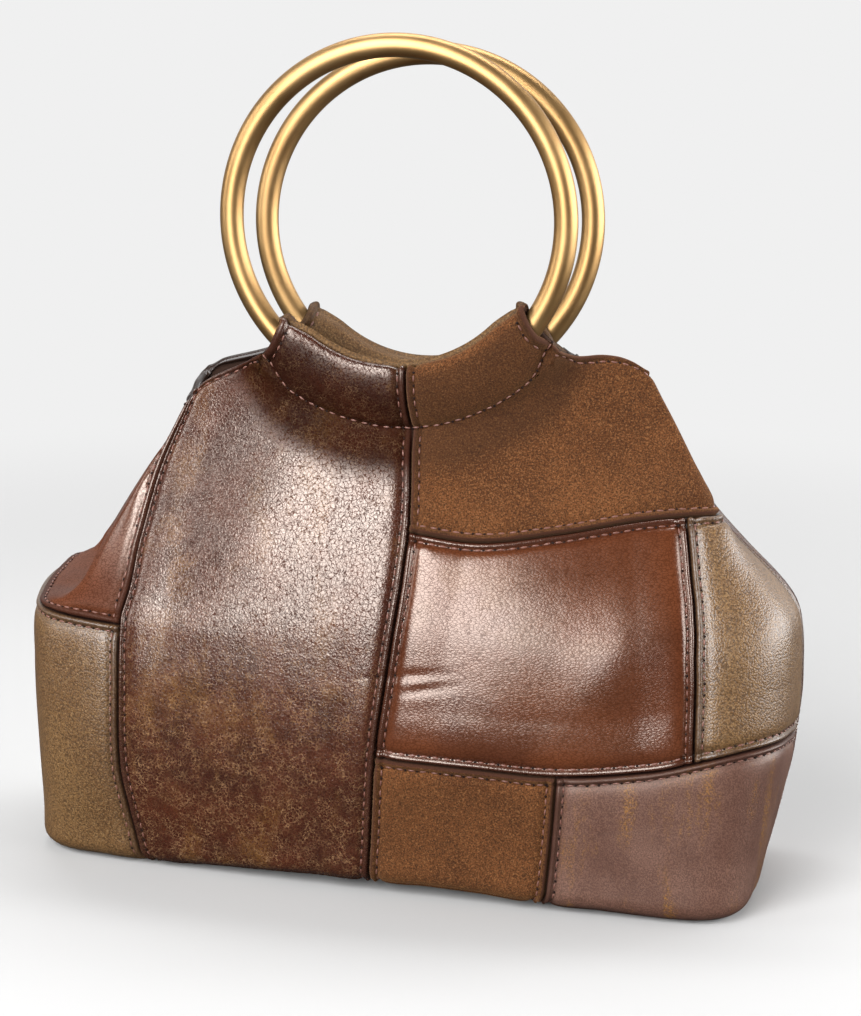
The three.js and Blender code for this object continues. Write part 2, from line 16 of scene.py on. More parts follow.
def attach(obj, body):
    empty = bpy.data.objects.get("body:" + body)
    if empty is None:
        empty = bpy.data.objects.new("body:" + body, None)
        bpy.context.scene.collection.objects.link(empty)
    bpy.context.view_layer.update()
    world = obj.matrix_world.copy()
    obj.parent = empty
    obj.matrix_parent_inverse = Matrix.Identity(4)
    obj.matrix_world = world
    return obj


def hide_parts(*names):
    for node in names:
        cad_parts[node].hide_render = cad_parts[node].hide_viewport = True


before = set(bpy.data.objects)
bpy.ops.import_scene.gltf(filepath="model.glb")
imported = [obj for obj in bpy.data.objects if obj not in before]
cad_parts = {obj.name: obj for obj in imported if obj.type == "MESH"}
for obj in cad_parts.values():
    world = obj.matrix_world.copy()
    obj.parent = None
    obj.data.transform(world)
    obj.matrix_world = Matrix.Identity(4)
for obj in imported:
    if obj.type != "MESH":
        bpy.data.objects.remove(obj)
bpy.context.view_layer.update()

MM = 0.001
ALL_ROUND = 8

# Leather
LEATHER = 2.0
LEAST_LEATHER = 0.1
EDGE_RADIUS = 7.0
BASE_PROUD = 0.3
EDGE_LIFT = 4.0
LIFT_HEIGHT = 50.0
LIFT_SHARE = 0.25
HALF_LENGTH = 150.0

# Ring handles and their sleeves
RING_RADIUS = 66.0
WIRE_RADIUS = 4.6
SLEEVE_RADIUS = 7.3
SLEEVE_TOP = 11.0
SLEEVE_END_TOP = 7.7
SLEEVE_SPREAD = 0.11
SLEEVE_ROUND = 0.6
STITCH_DROP = 14.5
SLEEVE_END_RISE = 4.5
SLEEVE_END_ARC = math.radians(14)
PANEL_PROUD = 2.0
LAYER_GAP = 0.4
FOLD_START, FOLD_EDGE, FOLD_END = -30.0, 76.0, 212.0
SETTLE_REACH = 18.0
SETTLE_STATIONS = 0.3

# Stitching
STITCH_PITCH = 4.3
STITCH_LENGTH = 2.7
STITCH_WIDTH = 0.8
STITCH_HEIGHT = 0.8
STITCH_PROUD = 0.12
STITCH_WANDER = 0.12
HOLE_WIDTH = 1.25
HOLE_SINK = 0.2
SHORTEST_ROW = 3
PAINT_WIDTH = 3.2

# How finely curves and lines are worked out
FACE_STEPS = 40
CORNER_STEPS = 17
MOST_AT_ONCE, BATCHES = 20000, 8
STITCH_LINE_ROUNDS, EDGE_LINE_ROUNDS = 8, 6
TINY = 1e-9


def smooth(value):
    t = np.clip(value, 0, 1)
    return t * t * (3 - 2 * t)


def mix(start, end, share):
    return start + (end - start) * share


def curve(start, end, leave, arrive, u):
    """A smooth curve between two values that leaves and arrives at given slopes."""
    return (mix(start, end, 3 * u ** 2 - 2 * u ** 3)
            + (u ** 3 - 2 * u ** 2 + u) * leave + (u ** 3 - u ** 2) * arrive)


# Tables: named columns, read on smooth curves through the rows

def table(columns, *rows):
    return dict(zip(columns.split(), np.array(rows, float).T))


def read(tab, key, place):
    """Every column of a table at any places along its key column."""
    keys = tab[key]
    last = len(keys) - 1
    here = np.clip(place, keys[0], keys[last])
    i = np.clip(np.searchsorted(keys, here) - 1, 0, last - 1)
    span = keys[i + 1] - keys[i]
    u = (here - keys[i]) / span
    before = np.maximum(np.arange(last + 1) - 1, 0)
    after = np.minimum(np.arange(last + 1) + 1, last)
    row = {}
    for name, column in tab.items():
        slope = (column[after] - column[before]) / (keys[after] - keys[before])
        row[name] = curve(column[i], column[i + 1], span * slope[i], span * slope[i + 1], u)
    return row


def station_of(tab):
    return lambda height: read(tab, "height", height)["station"]


def height_of(tab):
    return lambda station: read(tab, "station", station)["height"]


def at(station):
    return lambda height: np.full(np.shape(height), float(station))


# Level sections of the bag's outside. The left end folds in sharply from just above its rim.
SECTIONS = table(
    "height right front back crease corner soft fold lean skew",
    (0, 139, 53, 53, 47, 20, 30, -3, 0, 10),
    (45, 147, 58, 57, 50, 26, 30, -6, 0, 3),
    (80, 150, 59, 59, 49, 27, 28, -7, 0, 0),
    (103, 151, 58, 58, 45, 24, 24, -7.5, 3, 0),
    (117, 149.5, 56, 56, 39, 20, 18, -8, 8, 0),
    (135, 138.5, 51, 50, 30, 15, 12, -1.5, 10, 0),
    (160, 123.5, 39, 36, 19, 9, 10, 18, 10, 0),
    (185, 108, 28, 22, 13, 5, 8, 30, 8, 0),
    (210, 93.5, 26, 17, 10, 5, 8, 34, 7, 0),
    (225, 86, 26, 17, 9, 5, 8, 34, 6, 0))
LEFT_END = table(
    "height left crease corner soft fold lean",
    (0, 152, 47, 20, 30, -3, 0),
    (45, 150, 50, 26, 30, -6, 2),
    (80, 149, 49, 27, 28, -7, 6),
    (103, 147, 45, 20, 22, -6, 13),
    (107.2, 144.8, 43, 13, 16, -1.5, 14.6),
    (109.4, 137.5, 43, 8, 11, 14, 15.5),
    (117, 129.5, 39, 3.7, 5.5, 24, 17),
    (135, 121.5, 30, 3.5, 5, 30, 11),
    (160, 107.8, 19, 3.3, 4.7, 28, 6),
    (185, 93.5, 13, 3.2, 4.4, 4, 3),
    (210, 82, 10, 3, 4, -8, 2),
    (225, 76, 9, 3, 4, -8, 2))

# Upright seams
CENTRE_SEAM = table("height station", (0, -0.05), (58, -0.022), (103, 0.016), (149, 0.05), (185, 0.03))
LEFT_SEAM = table("height station", (0, -0.695), (25, -0.73), (45, -0.753), (85, -0.751), (103, -0.75),
                  (107.2, -0.757), (109.4, -0.793), (117, -0.826), (139, -0.877), (160, -0.942),
                  (175, -0.972), (189, -0.985))
RIGHT_SEAM = table("height station", (60, 0.828), (90, 0.812), (110, 0.799), (118, 0.801), (126, 0.817),
                   (143, 0.859), (155, 0.893))
BACK_LEFT_SEAM = table("height station", (0, 4.695), (65, 4.752), (103, 4.755), (107.2, 4.748),
                       (109.4, 4.79), (139, 4.82), (189, 4.93))
LOWER_RIGHT_STATION = 0.468
BACK_LOWER_STATION = 4.1

# Level seams and the free top edge
UPPER_SEAM = table("station height", (0, 147.5), (0.25, 144.2), (0.49, 147.8), (0.75, 152.8),
                   (1, 154.5), (2, 151))
LOWER_SEAM = table("station height", (-0.05, 59.6), (0.24, 57.6), (0.47, 56.3), (0.71, 60.3),
                   (1, 69.5), (2, 65))
LEFT_RIM = table("station height", (-3.26, 103), (-3, 105), (-2, 106), (-1, 105), (-0.74, 103))
BACK_SEAM = table("station height", (2, 65), (3, 77), (4, 89), (4.76, 103))
TOP_EDGE = table("station height", (-3.2, 204.4), (-3.09, 201.8), (-3.05, 200.5), (-3.01, 197.9),
                 (-2.9, 196), (-2.7, 194.6), (-2.4, 193.8), (-2, 192.8), (-1.5, 190.2), (-1, 189.5),
                 (-0.96, 194.3), (-0.9, 198.6), (-0.77, 205), (-0.68, 209.5), (0.65, 219), (0.7, 214.5),
                 (0.74, 212.8), (0.83, 213.3), (0.88, 213), (0.92, 212.2), (0.96, 210.4), (1, 207.5),
                 (1.1, 204.8), (1.3, 203), (2, 199), (3, 202), (3.15, 203), (3.25, 204.8), (3.32, 207.5),
                 (3.36, 210), (4.66, 210), (4.72, 206.6), (4.8, 204.4), (4.91, 201.8), (4.95, 200.5),
                 (4.99, 197.9), (5, 197.2))

# Lines that the ends of the sleeves follow down the panels
SLEEVE_LEFT_END = table("height station", (0, -0.45), (209, -0.69))
SLEEVE_RIGHT_END = table("height station", (145, 0.45), (219, 0.66))
BACK_SLEEVE_RIGHT_END = table("height station", (65, 3.5), (210, 3.35))
BACK_SLEEVE_LEFT_END = table("height station", (95, 4.45), (210, 4.66))

def form(*rows):
    """How far the leather's outside and inside stand off the plain wall, by distance from an edge.
    A row of two numbers leaves the inside alone."""
    return table("distance outside inside", *[(*row, 0)[:3] for row in rows])


# At a seam the edge rolls down into a groove beside a raised lip, and the stitches pull a channel.
# A free edge is turned over, thickly at a sleeve's hem, and a rim is painted too. A line of
# stitches through a sleeve pulls it in.
SEAM_FORM = form((0, -1.7), (0.25, -1.3), (0.55, -0.35), (0.9, 0.25), (1.5, 0.55), (2.1, 0.4), (2.6, -0.1),
                 (3.2, -0.8), (3.8, -0.55), (4.8, 0.05), (7, 0.5), (11, 0.55), (22, 0))
EDGE_FORM = form((0, -0.9, 0.9), (0.2, -0.25, 0.25), (0.6, 0.15, -0.15), (1.2, 0.3, -0.3),
                 (1.7, 0.15, -0.15), (2.2, -0.3), (2.7, -0.55), (3.4, -0.2), (5, 0.15), (12, 0))
RIM_FORM = form((0, -1, 1), (0.2, -0.2, 0.2), (0.6, 0.5, -0.5), (1.4, 0.9, -0.9), (2.4, 0.8, -0.8),
                (3.2, 0.2, -0.2), (3.8, -0.4), (4.4, -0.5), (5.2, -0.1), (7, 0.2), (14, 0))
HEM_FORM = form((0, -1, 1), (0.3, -0.1, 0.1), (0.9, 0.6, -0.6), (1.8, 0.9, -0.9), (2.8, 0.6, -0.3),
                (3.6, -0.1), (4.2, -0.5), (5, -0.1), (7, 0.15), (14, 0))
PULL_FORM = form((0, -1.5), (0.8, -1.1), (2, -0.4), (4, 0.1), (9, 0.25), (18, 0))
UNDER_FORM = form((0, -1.5), (3, -1.1), (8, -0.4), (14, 0), (20, 0))
TUCK_FORM = form((0, -1.3), (0.5, -0.9), (1.2, -0.25), (2.4, 0), (20, 0))
CREST_FORM = form((0, -0.4), (0.25, 0.6), (0.8, 1.2), (1.5, 1.15), (2.2, 0.4), (3, 0), (20, 0))
FORMS = {"seam": SEAM_FORM, "edge": EDGE_FORM, "hem": HEM_FORM, "rim": RIM_FORM}
STITCH_OFFSETS = {"seam": 3.2, "edge": 2.7, "hem": 4.2, "rim": 4.4}


# The ring handles

def make_handle(x, y, z, lean, turn, outward):
    lean, turn = math.radians(lean), math.radians(turn)
    across = np.array([math.cos(turn), math.sin(turn), 0])
    backward = np.array([-math.sin(turn), math.cos(turn), 0])
    up = np.array([0, 0, math.cos(lean)]) + backward * math.sin(lean)
    return {"middle": np.array([x, y, z]), "across": across, "up": up,
            "outward": np.cross(up, across) * outward, "faces_front": outward < 0}


def ring_point(handle, angle, radius, proud):
    angle, radius, proud = np.broadcast_arrays(angle, radius, proud)
    return (handle["middle"] + handle["across"] * (radius * np.sin(angle))[..., None]
            - handle["up"] * (radius * np.cos(angle))[..., None]
            + handle["outward"] * proud[..., None])


def ring_place(handle, points):
    offset = points - handle["middle"]
    sideways, drop = offset @ handle["across"], -(offset @ handle["up"])
    return np.arctan2(sideways, drop), np.hypot(sideways, drop)


FRONT_HANDLE = make_handle(-3.9, -23, 263.4, lean=1.2, turn=-2, outward=-1)
BACK_HANDLE = make_handle(-0.4, 20, 258.3, lean=4.5, turn=2, outward=1)


# The wall

def run_along(points, share):
    """The point a given share of the way along each run of points."""
    steps = np.linalg.norm(np.diff(points, axis=1), axis=2)
    lengths = np.concatenate([np.zeros((len(points), 1)), np.cumsum(steps, axis=1)], axis=1)
    target = share * lengths[:, -1]
    i = np.clip((lengths < target[:, None]).sum(axis=1), 1, points.shape[1] - 1)
    n = np.arange(len(points))
    part = (target - lengths[n, i - 1]) / np.maximum(lengths[n, i] - lengths[n, i - 1], TINY)
    return mix(points[n, i - 1], points[n, i], part[:, None])


def bezier(start, middle, end, shares):
    t = shares[None, :, None]
    return start[:, None] * (1 - t) ** 2 + middle[:, None] * 2 * t * (1 - t) + end[:, None] * t ** 2


def towards(start, end, reach):
    most = 0.48
    share = np.minimum(reach / np.linalg.norm(end - start, axis=1), most)
    return mix(start, end, share[:, None])


def section_point(row, side, rear, inset, from_middle):
    """A point of each level section: 0 is the middle of the front or back, 1 the crease and 2 the
    middle of the side."""
    left, at_left = side < 0, read(LEFT_END, "height", row["height"])
    half = np.where(left, at_left["left"], row["right"]) - inset
    lean = side * np.where(left, at_left["lean"], row["lean"])
    fold = np.where(left, at_left["fold"], row["fold"])
    corner_reach = np.where(left, at_left["corner"], row["corner"])
    soft_reach = np.where(left, at_left["soft"], row["soft"])
    length = half - np.where(rear, lean, 0)
    depth = np.where(rear, row["back"], row["front"]) - inset
    crease = np.where(left, at_left["crease"], row["crease"]) - inset

    def face(x):
        bulge = (depth - crease)[:, None] * (1 - (x / length[:, None]) ** 2)
        return np.stack([x, crease[:, None] + bulge], 2)

    corner = np.stack([length, crease], 1)
    other_corner = np.stack([half - np.where(rear, 0, lean), -crease], 1)
    middle = np.stack([half - fold - lean / 2, np.zeros(len(half))], 1)
    face_end = (length - corner_reach)[:, None]
    first, second = np.linspace(0, 0.5, CORNER_STEPS), np.linspace(0.5, 1, CORNER_STEPS)
    rounded = (face(face_end)[:, 0], corner, towards(corner, middle, corner_reach))
    soft = (towards(middle, corner, soft_reach), middle, towards(middle, other_corner, soft_reach))
    point = np.empty((len(half), 2))
    on_face = from_middle <= 1
    bowed = face(face_end * np.linspace(0, 1, FACE_STEPS, endpoint=False))
    run = np.concatenate([bowed, bezier(*rounded, first)], 1)
    point[on_face] = run_along(run[on_face], from_middle[on_face])
    run = np.concatenate([bezier(*rounded, second), bezier(*soft, first)], 1)
    point[~on_face] = run_along(run[~on_face], from_middle[~on_face] - 1)
    return point


def settle_to_ring(points, handle, from_middle):
    """Near a sleeve the wall settles to just outside the ring's plane."""
    angle, radius = ring_place(handle, points)
    near = np.clip((RING_RADIUS + STITCH_DROP + SETTLE_REACH - radius) / SETTLE_REACH, 0, 1)
    share = near ** 4 * smooth((1 - from_middle) / SETTLE_STATIONS)
    plane = ring_point(handle, angle, radius, PANEL_PROUD)[:, 1]
    points[:, 1] = mix(points[:, 1], plane, share)
    return points


def wall(station, height):
    """Points on the outside of the bag."""
    station, height = np.broadcast_arrays(np.asarray(station, float), np.asarray(height, float))
    shape = station.shape
    station, height = station.ravel(), height.ravel()
    if len(station) > MOST_AT_ONCE:
        parts = zip(np.array_split(station, BATCHES), np.array_split(height, BATCHES))
        return np.concatenate([wall(*part) for part in parts]).reshape(shape + (3,))
    turn = (station + ALL_ROUND / 2) % ALL_ROUND - ALL_ROUND / 2
    side = np.where(turn < 0, -1.0, 1.0)
    rear = np.abs(turn) > 2
    from_middle = np.where(rear, 4 - np.abs(turn), np.abs(turn))
    under = math.pi / 2 * np.clip(1 - height / EDGE_RADIUS, 0, 1)
    inset = EDGE_RADIUS * (1 - np.cos(under))
    level = np.where(height < EDGE_RADIUS, EDGE_RADIUS * (1 - np.sin(under)), height)
    row = read(SECTIONS, "height", level)
    place = section_point(row, side, rear, inset, from_middle)
    x = side * place[:, 0]
    y = np.where(rear, 1, -1) * place[:, 1] - row["skew"] / HALF_LENGTH * x
    lift = EDGE_LIFT * smooth(1 - from_middle) * smooth(1 - level / LIFT_HEIGHT)
    points = np.stack([x, y, level + BASE_PROUD + lift], 1)
    for handle, there in ((FRONT_HANDLE, ~rear), (BACK_HANDLE, rear)):
        there = there & (from_middle < 1)
        points[there] = settle_to_ring(points[there], handle, from_middle[there])
    return points.reshape(shape + (3,))


def stitch_radius(handle, angle):
    """The sleeve's stitch line is an arc round the ring that climbs a little at its ends."""
    from_end = np.minimum(angle - handle["arc"][0], handle["arc"][1] - angle)
    return RING_RADIUS + STITCH_DROP - SLEEVE_END_RISE * (1 - smooth(from_end / SLEEVE_END_ARC))


def stitch_height(handle):
    def line(station):
        height = np.full(np.shape(station), handle["middle"][2] - RING_RADIUS - STITCH_DROP)
        for _ in range(STITCH_LINE_ROUNDS):
            angle, _radius = ring_place(handle, wall(station, height))
            height = ring_point(handle, angle, stitch_radius(handle, angle), 0.0)[..., 2] - BASE_PROUD
        return height
    return line


def sleeve_arc(handle, *end_lines):
    ends = [wall(line["station"][-1], line["height"][-1]) for line in end_lines]
    angles = [float(ring_place(handle, end)[0]) for end in ends]
    return min(angles), max(angles)


FRONT_HANDLE["arc"] = sleeve_arc(FRONT_HANDLE, SLEEVE_LEFT_END, SLEEVE_RIGHT_END)
BACK_HANDLE["arc"] = sleeve_arc(BACK_HANDLE, BACK_SLEEVE_RIGHT_END, BACK_SLEEVE_LEFT_END)


def fold_point(handle, angle, degrees, depth):
    """The sleeve's fold round the wire in line with a place on the stitch line: angle round the
    ring, distance from its middle and height above its plane."""
    rise, out = np.sin(np.radians(degrees)), np.cos(np.radians(degrees))
    power = np.where(rise > 0, SLEEVE_ROUND, 1)
    rise, out = np.sign(rise) * np.abs(rise) ** power, np.sign(out) * np.abs(out) ** power
    from_end = np.minimum(angle - handle["arc"][0], handle["arc"][1] - angle)
    top = mix(SLEEVE_END_TOP, SLEEVE_TOP, smooth(from_end / SLEEVE_END_ARC))
    reach = np.where(rise > 0, top, SLEEVE_RADIUS) - depth
    climb = (degrees - FOLD_START) / (FOLD_EDGE - FOLD_START)
    descent = (FOLD_END - degrees) / (FOLD_END - FOLD_EDGE)
    turn = angle * (1 + SLEEVE_SPREAD * np.minimum(climb, descent))
    return np.broadcast_arrays(turn, RING_RADIUS - rise * reach, out * (SLEEVE_RADIUS - depth))


# Grids of points

EDGE_STEPS = np.array([0, 0.2, 0.45, 0.7, 1, 1.35, 1.7, 2.1, 2.5, 2.9, 3.4, 4, 4.8, 5.8, 7, 8.4])
PLAIN_STEP = 1.7


def spaced(length, fine_start, fine_end):
    """Places from 0 to 1 along a length, closer together near an edge."""
    steps = EDGE_STEPS[EDGE_STEPS < length / 2.5]
    head = steps if fine_start else np.array([0.0])
    tail = length - (steps[::-1] if fine_end else np.array([0.0]))
    count = max(int(round((tail[0] - head[-1]) / PLAIN_STEP)), 1)
    middle = np.linspace(head[-1], tail[0], count + 1)[1:-1]
    return np.concatenate([head, middle, tail]) / length


def grid_normals(points):
    across = np.gradient(points, axis=0)
    up = np.gradient(points, axis=1)
    normal = np.cross(across, up)
    return normal / np.maximum(np.linalg.norm(normal, axis=2, keepdims=True), TINY)


def distances(points, axis):
    """How far each point of a grid is from its two ends along an axis."""
    steps = np.linalg.norm(np.diff(points, axis=axis), axis=2)
    zero = np.zeros_like(np.take(steps, [0], axis))
    start = np.concatenate([zero, np.cumsum(steps, axis=axis)], axis)
    return start, np.take(start, [-1], axis) - start


def edge_distances(points):
    """How far each point of a grid is from each of the grid's sides."""
    far = dict(zip(("left", "right"), distances(points, 0)))
    far.update(zip(("bottom", "top"), distances(points, 1)))
    return far


def stand_off(forms):
    """How far the outside and the inside stand off the plain sheet, from forms, distances and shares."""
    outside, inside = 0.0, 0.0
    for form, distance, share in forms:
        row = read(form, "distance", distance)
        outside = outside + row["outside"] * share
        inside = inside + row["inside"] * share
    return np.maximum(outside, LEAST_LEATHER - LEATHER), inside


def grid_index(points):
    return np.arange(points.shape[0] * points.shape[1]).reshape(points.shape[:2])


def grid_quads(index):
    return np.stack([index[:-1, :-1], index[1:, :-1], index[1:, 1:], index[:-1, 1:]], 2).reshape(-1, 4)


# Soft dents and rises in the leather: where, which way they run, their size and height
DRAPES = table(
    "station height angle length width rise",
    (-0.45, 150, 75, 50, 22, 0.8),
    (0.05, 93, 6, 14, 1.6, -0.5),
    (0.1, 88, 10, 12, 1.4, -0.4),
    (-0.3, 60, 80, 46, 22, 0.6),
    (0.16, 70, 4, 42, 24, 2.6),
    (0.62, 105, 60, 40, 14, 0.9),
    (0.75, 35, -70, 30, 12, 0.7),
    (4.3, 130, 70, 50, 18, 1.4),
    (3.7, 120, -65, 44, 16, 1.2),
    (4.0, 160, 5, 40, 12, 1.2),
    (4.4, 50, 20, 50, 16, 0.9),
    (-1.6, 108.2, 0, 40, 0.5, -0.7),
    (-2.1, 109.6, 0, 50, 0.5, 0.8),
    (-1.8, 111.2, 0, 40, 0.6, -0.8))


def drape(station, height):
    """How far soft folds stand off the wall."""
    total = np.zeros(np.shape(station))
    for place, level, angle, length, width, rise in zip(*DRAPES.values()):
        x, z = (station - place) * HALF_LENGTH, height - level
        turn = math.radians(angle)
        along, across = x * math.cos(turn) + z * math.sin(turn), z * math.cos(turn) - x * math.sin(turn)
        total = total + rise * np.exp(-(along / length) ** 2 - (across / width) ** 2)
    return total


# Meshes

def add_object(name, data):
    thing = bpy.data.objects.new(name, data)
    bpy.context.collection.objects.link(thing)
    return thing


def add_piece(name, mesh, body, slot, *nodes):
    """A finished piece that rides on a body, and stands for CAD nodes."""
    piece = add_object(name, mesh)
    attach(piece, body)
    if nodes:
        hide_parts(*nodes)


def new_mesh(name, points, faces, materials, face_materials=None, marks=None):
    mesh = bpy.data.meshes.new(name)
    mesh.from_pydata(points.reshape(-1, 3) * MM, [], faces)
    for material in materials:
        mesh.materials.append(material)
    if face_materials is not None:
        mesh.polygons.foreach_set("material_index", face_materials.astype(np.int32))
    for mark, values in (marks or {}).items():
        mesh.attributes.new(mark, "FLOAT", "POINT").data.foreach_set("value", values.astype(np.float32))
    mesh.shade_smooth()
    mesh.update()
    return mesh


def sheet_mesh(name, outer, inner, quads, finish, marks):
    """A closed leather sheet from matching outer and inner points, with painted free edges."""
    points = np.concatenate([outer.reshape(-1, 3), inner.reshape(-1, 3)])
    count = len(points) // 2
    edges = np.concatenate([quads[:, [k, (k + 1) % 4]] for k in range(4)])
    codes, reverse = edges[:, 0] * count + edges[:, 1], edges[:, 1] * count + edges[:, 0]
    rim = edges[~np.isin(codes, reverse)]
    walls = np.stack([rim[:, 1], rim[:, 0], rim[:, 0] + count, rim[:, 1] + count], 1)
    faces = np.concatenate([quads, walls, quads[:, ::-1] + count])
    marks = {mark: np.tile(values.ravel(), 2) for mark, values in marks.items()}
    look = np.concatenate([np.zeros(len(quads) + len(walls)), np.ones(len(quads))])
    look[marks["rim"][faces].mean(axis=1) < PAINT_WIDTH] = 2
    return new_mesh(name, points, faces, [finish, LINING, PAINTED], look, marks)


# Panels

# A distance that counts as out of reach, and how turned edges and hems are marked
FAR = 99.0
TURNED, HEM_SHARE = 0.55, 0.6
# Where seams clear a painted rim, and where the rim itself thins away
RIM_CLEAR_START, RIM_CLEAR_FADE, RIM_END_FADE = 1.5, 4.0, 8.0
# Dulled leather: handled places, the tuck below a sleeve, and the sleeve's fold. The same mark paints shade:
# in the crackled leather, suede and olive it darkens the colour in the tuck, down the sleeve's fold and on
# the facings
DULL_AND_SHADE_LEVEL, HANDLED_FADE = 0.8, 35.0
TUCK_START, TUCK_REACH = 8.0, 17.0
FOLD_DULL_AND_SHADE_START, FOLD_DULL_AND_SHADE_FADE = 3.0, 5.0
# The sleeves: degrees round the wire, the row of stitches at their foot and the rows of a facing
FOLD_KNOTS = (FOLD_START, 5.0, 40.0, 60.0, FOLD_EDGE)
FOLD_STITCH = 0.15
FACING_CLEARANCE, FACING_FOLDS, FACING_ROWS = 4.0, 10, 46
# Heights that lines are first looked for at
LOW_LEVEL, BASE_LEVEL, HIGH_LEVEL = 90.0, 70.0, 190.0


def past_groove(kind, far):
    """How far past a seam's groove a place counts as lying. Turned edges have no groove."""
    if kind == "seam":
        return far
    return far * (HEM_SHARE if kind == "hem" else 1.0) + TURNED


stitch_rows = []


def add_stitches(points, normals, distance, offset, keep):
    """A row of stitches at a given distance from one edge of a grid."""
    line, lie = [], []
    for column, normal, far, kept in zip(points, normals, distance, keep):
        if far.max() > offset and kept:
            line.append([np.interp(offset, far, column[:, k]) for k in range(3)])
            lie.append([np.interp(offset, far, normal[:, k]) for k in range(3)])
    if len(line) > SHORTEST_ROW:
        line, lie = np.array(line), np.array(lie)
        run = np.concatenate([[0], np.cumsum(np.linalg.norm(np.diff(line, axis=0), axis=1))])
        inside = (run > STITCH_PITCH / 2) & (run < run[-1] - STITCH_PITCH / 2)
        if inside.sum() > SHORTEST_ROW:
            stitch_rows.append((line[inside], lie[inside]))


def edge_stitches(points, normals, far, kinds):
    """Rows of stitches along the sewn and free edges of a grid."""
    for side, kind in kinds.items():
        offset = STITCH_OFFSETS[kind]
        grids = (points, normals, far[side])
        if side in ("left", "right"):
            keep = np.minimum(far["bottom"], far["top"]).max(axis=0) > offset
            grids = [grid.swapaxes(0, 1) for grid in grids]
        else:
            keep = np.minimum(far["left"], far["right"]).max(axis=1) > offset
        order = slice(None) if side in ("left", "bottom") else slice(None, None, -1)
        add_stitches(*[grid[:, order] for grid in grids], offset, keep)


def under_sleeve(handle, points):
    """How deep in the tuck below a sleeve's stitch line each place lies, from 0 to 1: where the leather is
    dulled and painted darker as shade.
    """
    angle, radius = ring_place(handle, points)
    start, end = handle["arc"]
    below = np.maximum(radius - stitch_radius(handle, np.clip(angle, start, end)), 0)
    beside = RING_RADIUS * np.maximum(np.maximum(start - angle, angle - end), 0)
    return 1 - smooth((np.hypot(below, beside) - TUCK_START) / TUCK_REACH)


def column_places(lines, level, sleeve):
    """Where the columns of a panel's grid stand among its upright lines: 0 is on the first line,
    and 0.5 half way to the next. They are closest at the panel's sides and the sleeve's ends."""
    fine = {0, len(lines) - 1} | set(sleeve["between"] if sleeve else ())
    places = [np.zeros(1)]
    for k in range(len(lines) - 1):
        shares = np.linspace(0, 1, FACE_STEPS)
        run = wall(mix(lines[k](level), lines[k + 1](level), shares), level)
        length = np.linalg.norm(np.diff(run, axis=0), axis=1).sum()
        places.append(k + spaced(length, k in fine, k + 1 in fine)[1:])
    return np.concatenate(places)


def panel_grid(lines, bottom, top, sleeve):
    """The stations and heights of a panel's grid, and which columns end at a sleeve's stitch line."""
    first = lines[0](LOW_LEVEL)
    places = column_places(lines, 0.5 * (bottom(first) + top(first)) if bottom else BASE_LEVEL, sleeve)
    columns = np.arange(len(places))
    before = np.minimum(places.astype(int), len(lines) - 2)

    def station(height):
        """The station of every column at heights given for each column."""
        stations = np.stack([line(height) for line in lines])
        share = (places - before).reshape((-1,) + (1,) * (np.ndim(height) - 1))
        return mix(stations[before, columns], stations[before + 1, columns], share)

    def settle(line, start):
        height = np.full(len(places), start)
        for _ in range(EDGE_LINE_ROUNDS):
            height = line(station(height))
        return height

    low = settle(bottom, LOW_LEVEL) if bottom else np.zeros(len(places))
    high = settle(top, HIGH_LEVEL)
    folded = np.zeros(len(places), bool)
    if sleeve:
        start, end = sleeve["between"]
        folded = (places >= start) & (places <= end)
        high = np.where(folded, settle(stitch_height(sleeve["handle"]), HIGH_LEVEL), high)
    rows = spaced(float(np.median(high - low)), True, True)
    height = mix(low[:, None], high[:, None], rows[None, :])
    return station(height), height, folded


def leather(plain, normal, forms, soft=0.0):
    """The outside and inside of a leather sheet whose plain outside is given."""
    outside, inside = stand_off(forms)
    return plain + normal * (outside + soft)[..., None], plain + normal * (inside + soft - LEATHER)[..., None]


def edge_marks(kinds, far):
    """How far each place is from a painted rim, and from a groove or turned edge."""
    marks = {"rim": np.full(far["top"].shape, FAR), "seam": np.full(far["top"].shape, FAR)}
    for side, kind in kinds.items():
        if kind == "rim":
            marks["rim"] = np.minimum(marks["rim"], far[side])
        else:
            marks["seam"] = np.minimum(marks["seam"], past_groove(kind, far[side]))
    return marks


def make_tab(start, sleeve):
    """The part of a panel that goes on up from the stitch line and folds over the ring."""
    handle, sides = sleeve["handle"], sleeve["sides"]
    angle, radius = ring_place(handle, start)
    first = np.stack([angle, radius, np.full(len(angle), PANEL_PROUD)], 1)
    folds = [np.stack(fold_point(handle, angle, degrees, 0.0), 1) for degrees in FOLD_KNOTS]
    knots = np.stack([first, mix(first, folds[0], 0.5)] + folds)
    length = np.linalg.norm(np.diff(knots[:, len(angle) // 2, 1:], axis=0), axis=1).sum()
    t = spaced(length, True, True) * (len(knots) - 1)
    k = np.minimum(t.astype(int), len(knots) - 2)
    slopes = np.gradient(knots, axis=0)
    runs = curve(knots[k], knots[k + 1], slopes[k], slopes[k + 1], (t - k)[:, None, None])
    plain = ring_point(handle, *runs.transpose(2, 1, 0))
    normal, far = grid_normals(plain), edge_distances(plain)
    forms = [(FORMS[kind], far[side], 1.0) for side, kind in sides.items()]
    forms += [(TUCK_FORM, far["top"], 1.0), (PULL_FORM, far["bottom"], 1.0)]
    outer, inner = leather(plain, normal, forms)
    edge_stitches(outer, normal, far, sides)
    add_stitches(outer, normal, far["bottom"], FOLD_STITCH, np.ones(len(outer), bool))
    # Down the sleeve's fold, below a glossy band under its top edge, the leather is dulled and painted darker
    # as shade.
    dull_and_shade = DULL_AND_SHADE_LEVEL * smooth((far["top"] - FOLD_DULL_AND_SHADE_START) / FOLD_DULL_AND_SHADE_FADE)
    return {"outer": outer, "inner": inner, "dull_and_shade": dull_and_shade, **edge_marks(dict(sides, top="edge"), far)}


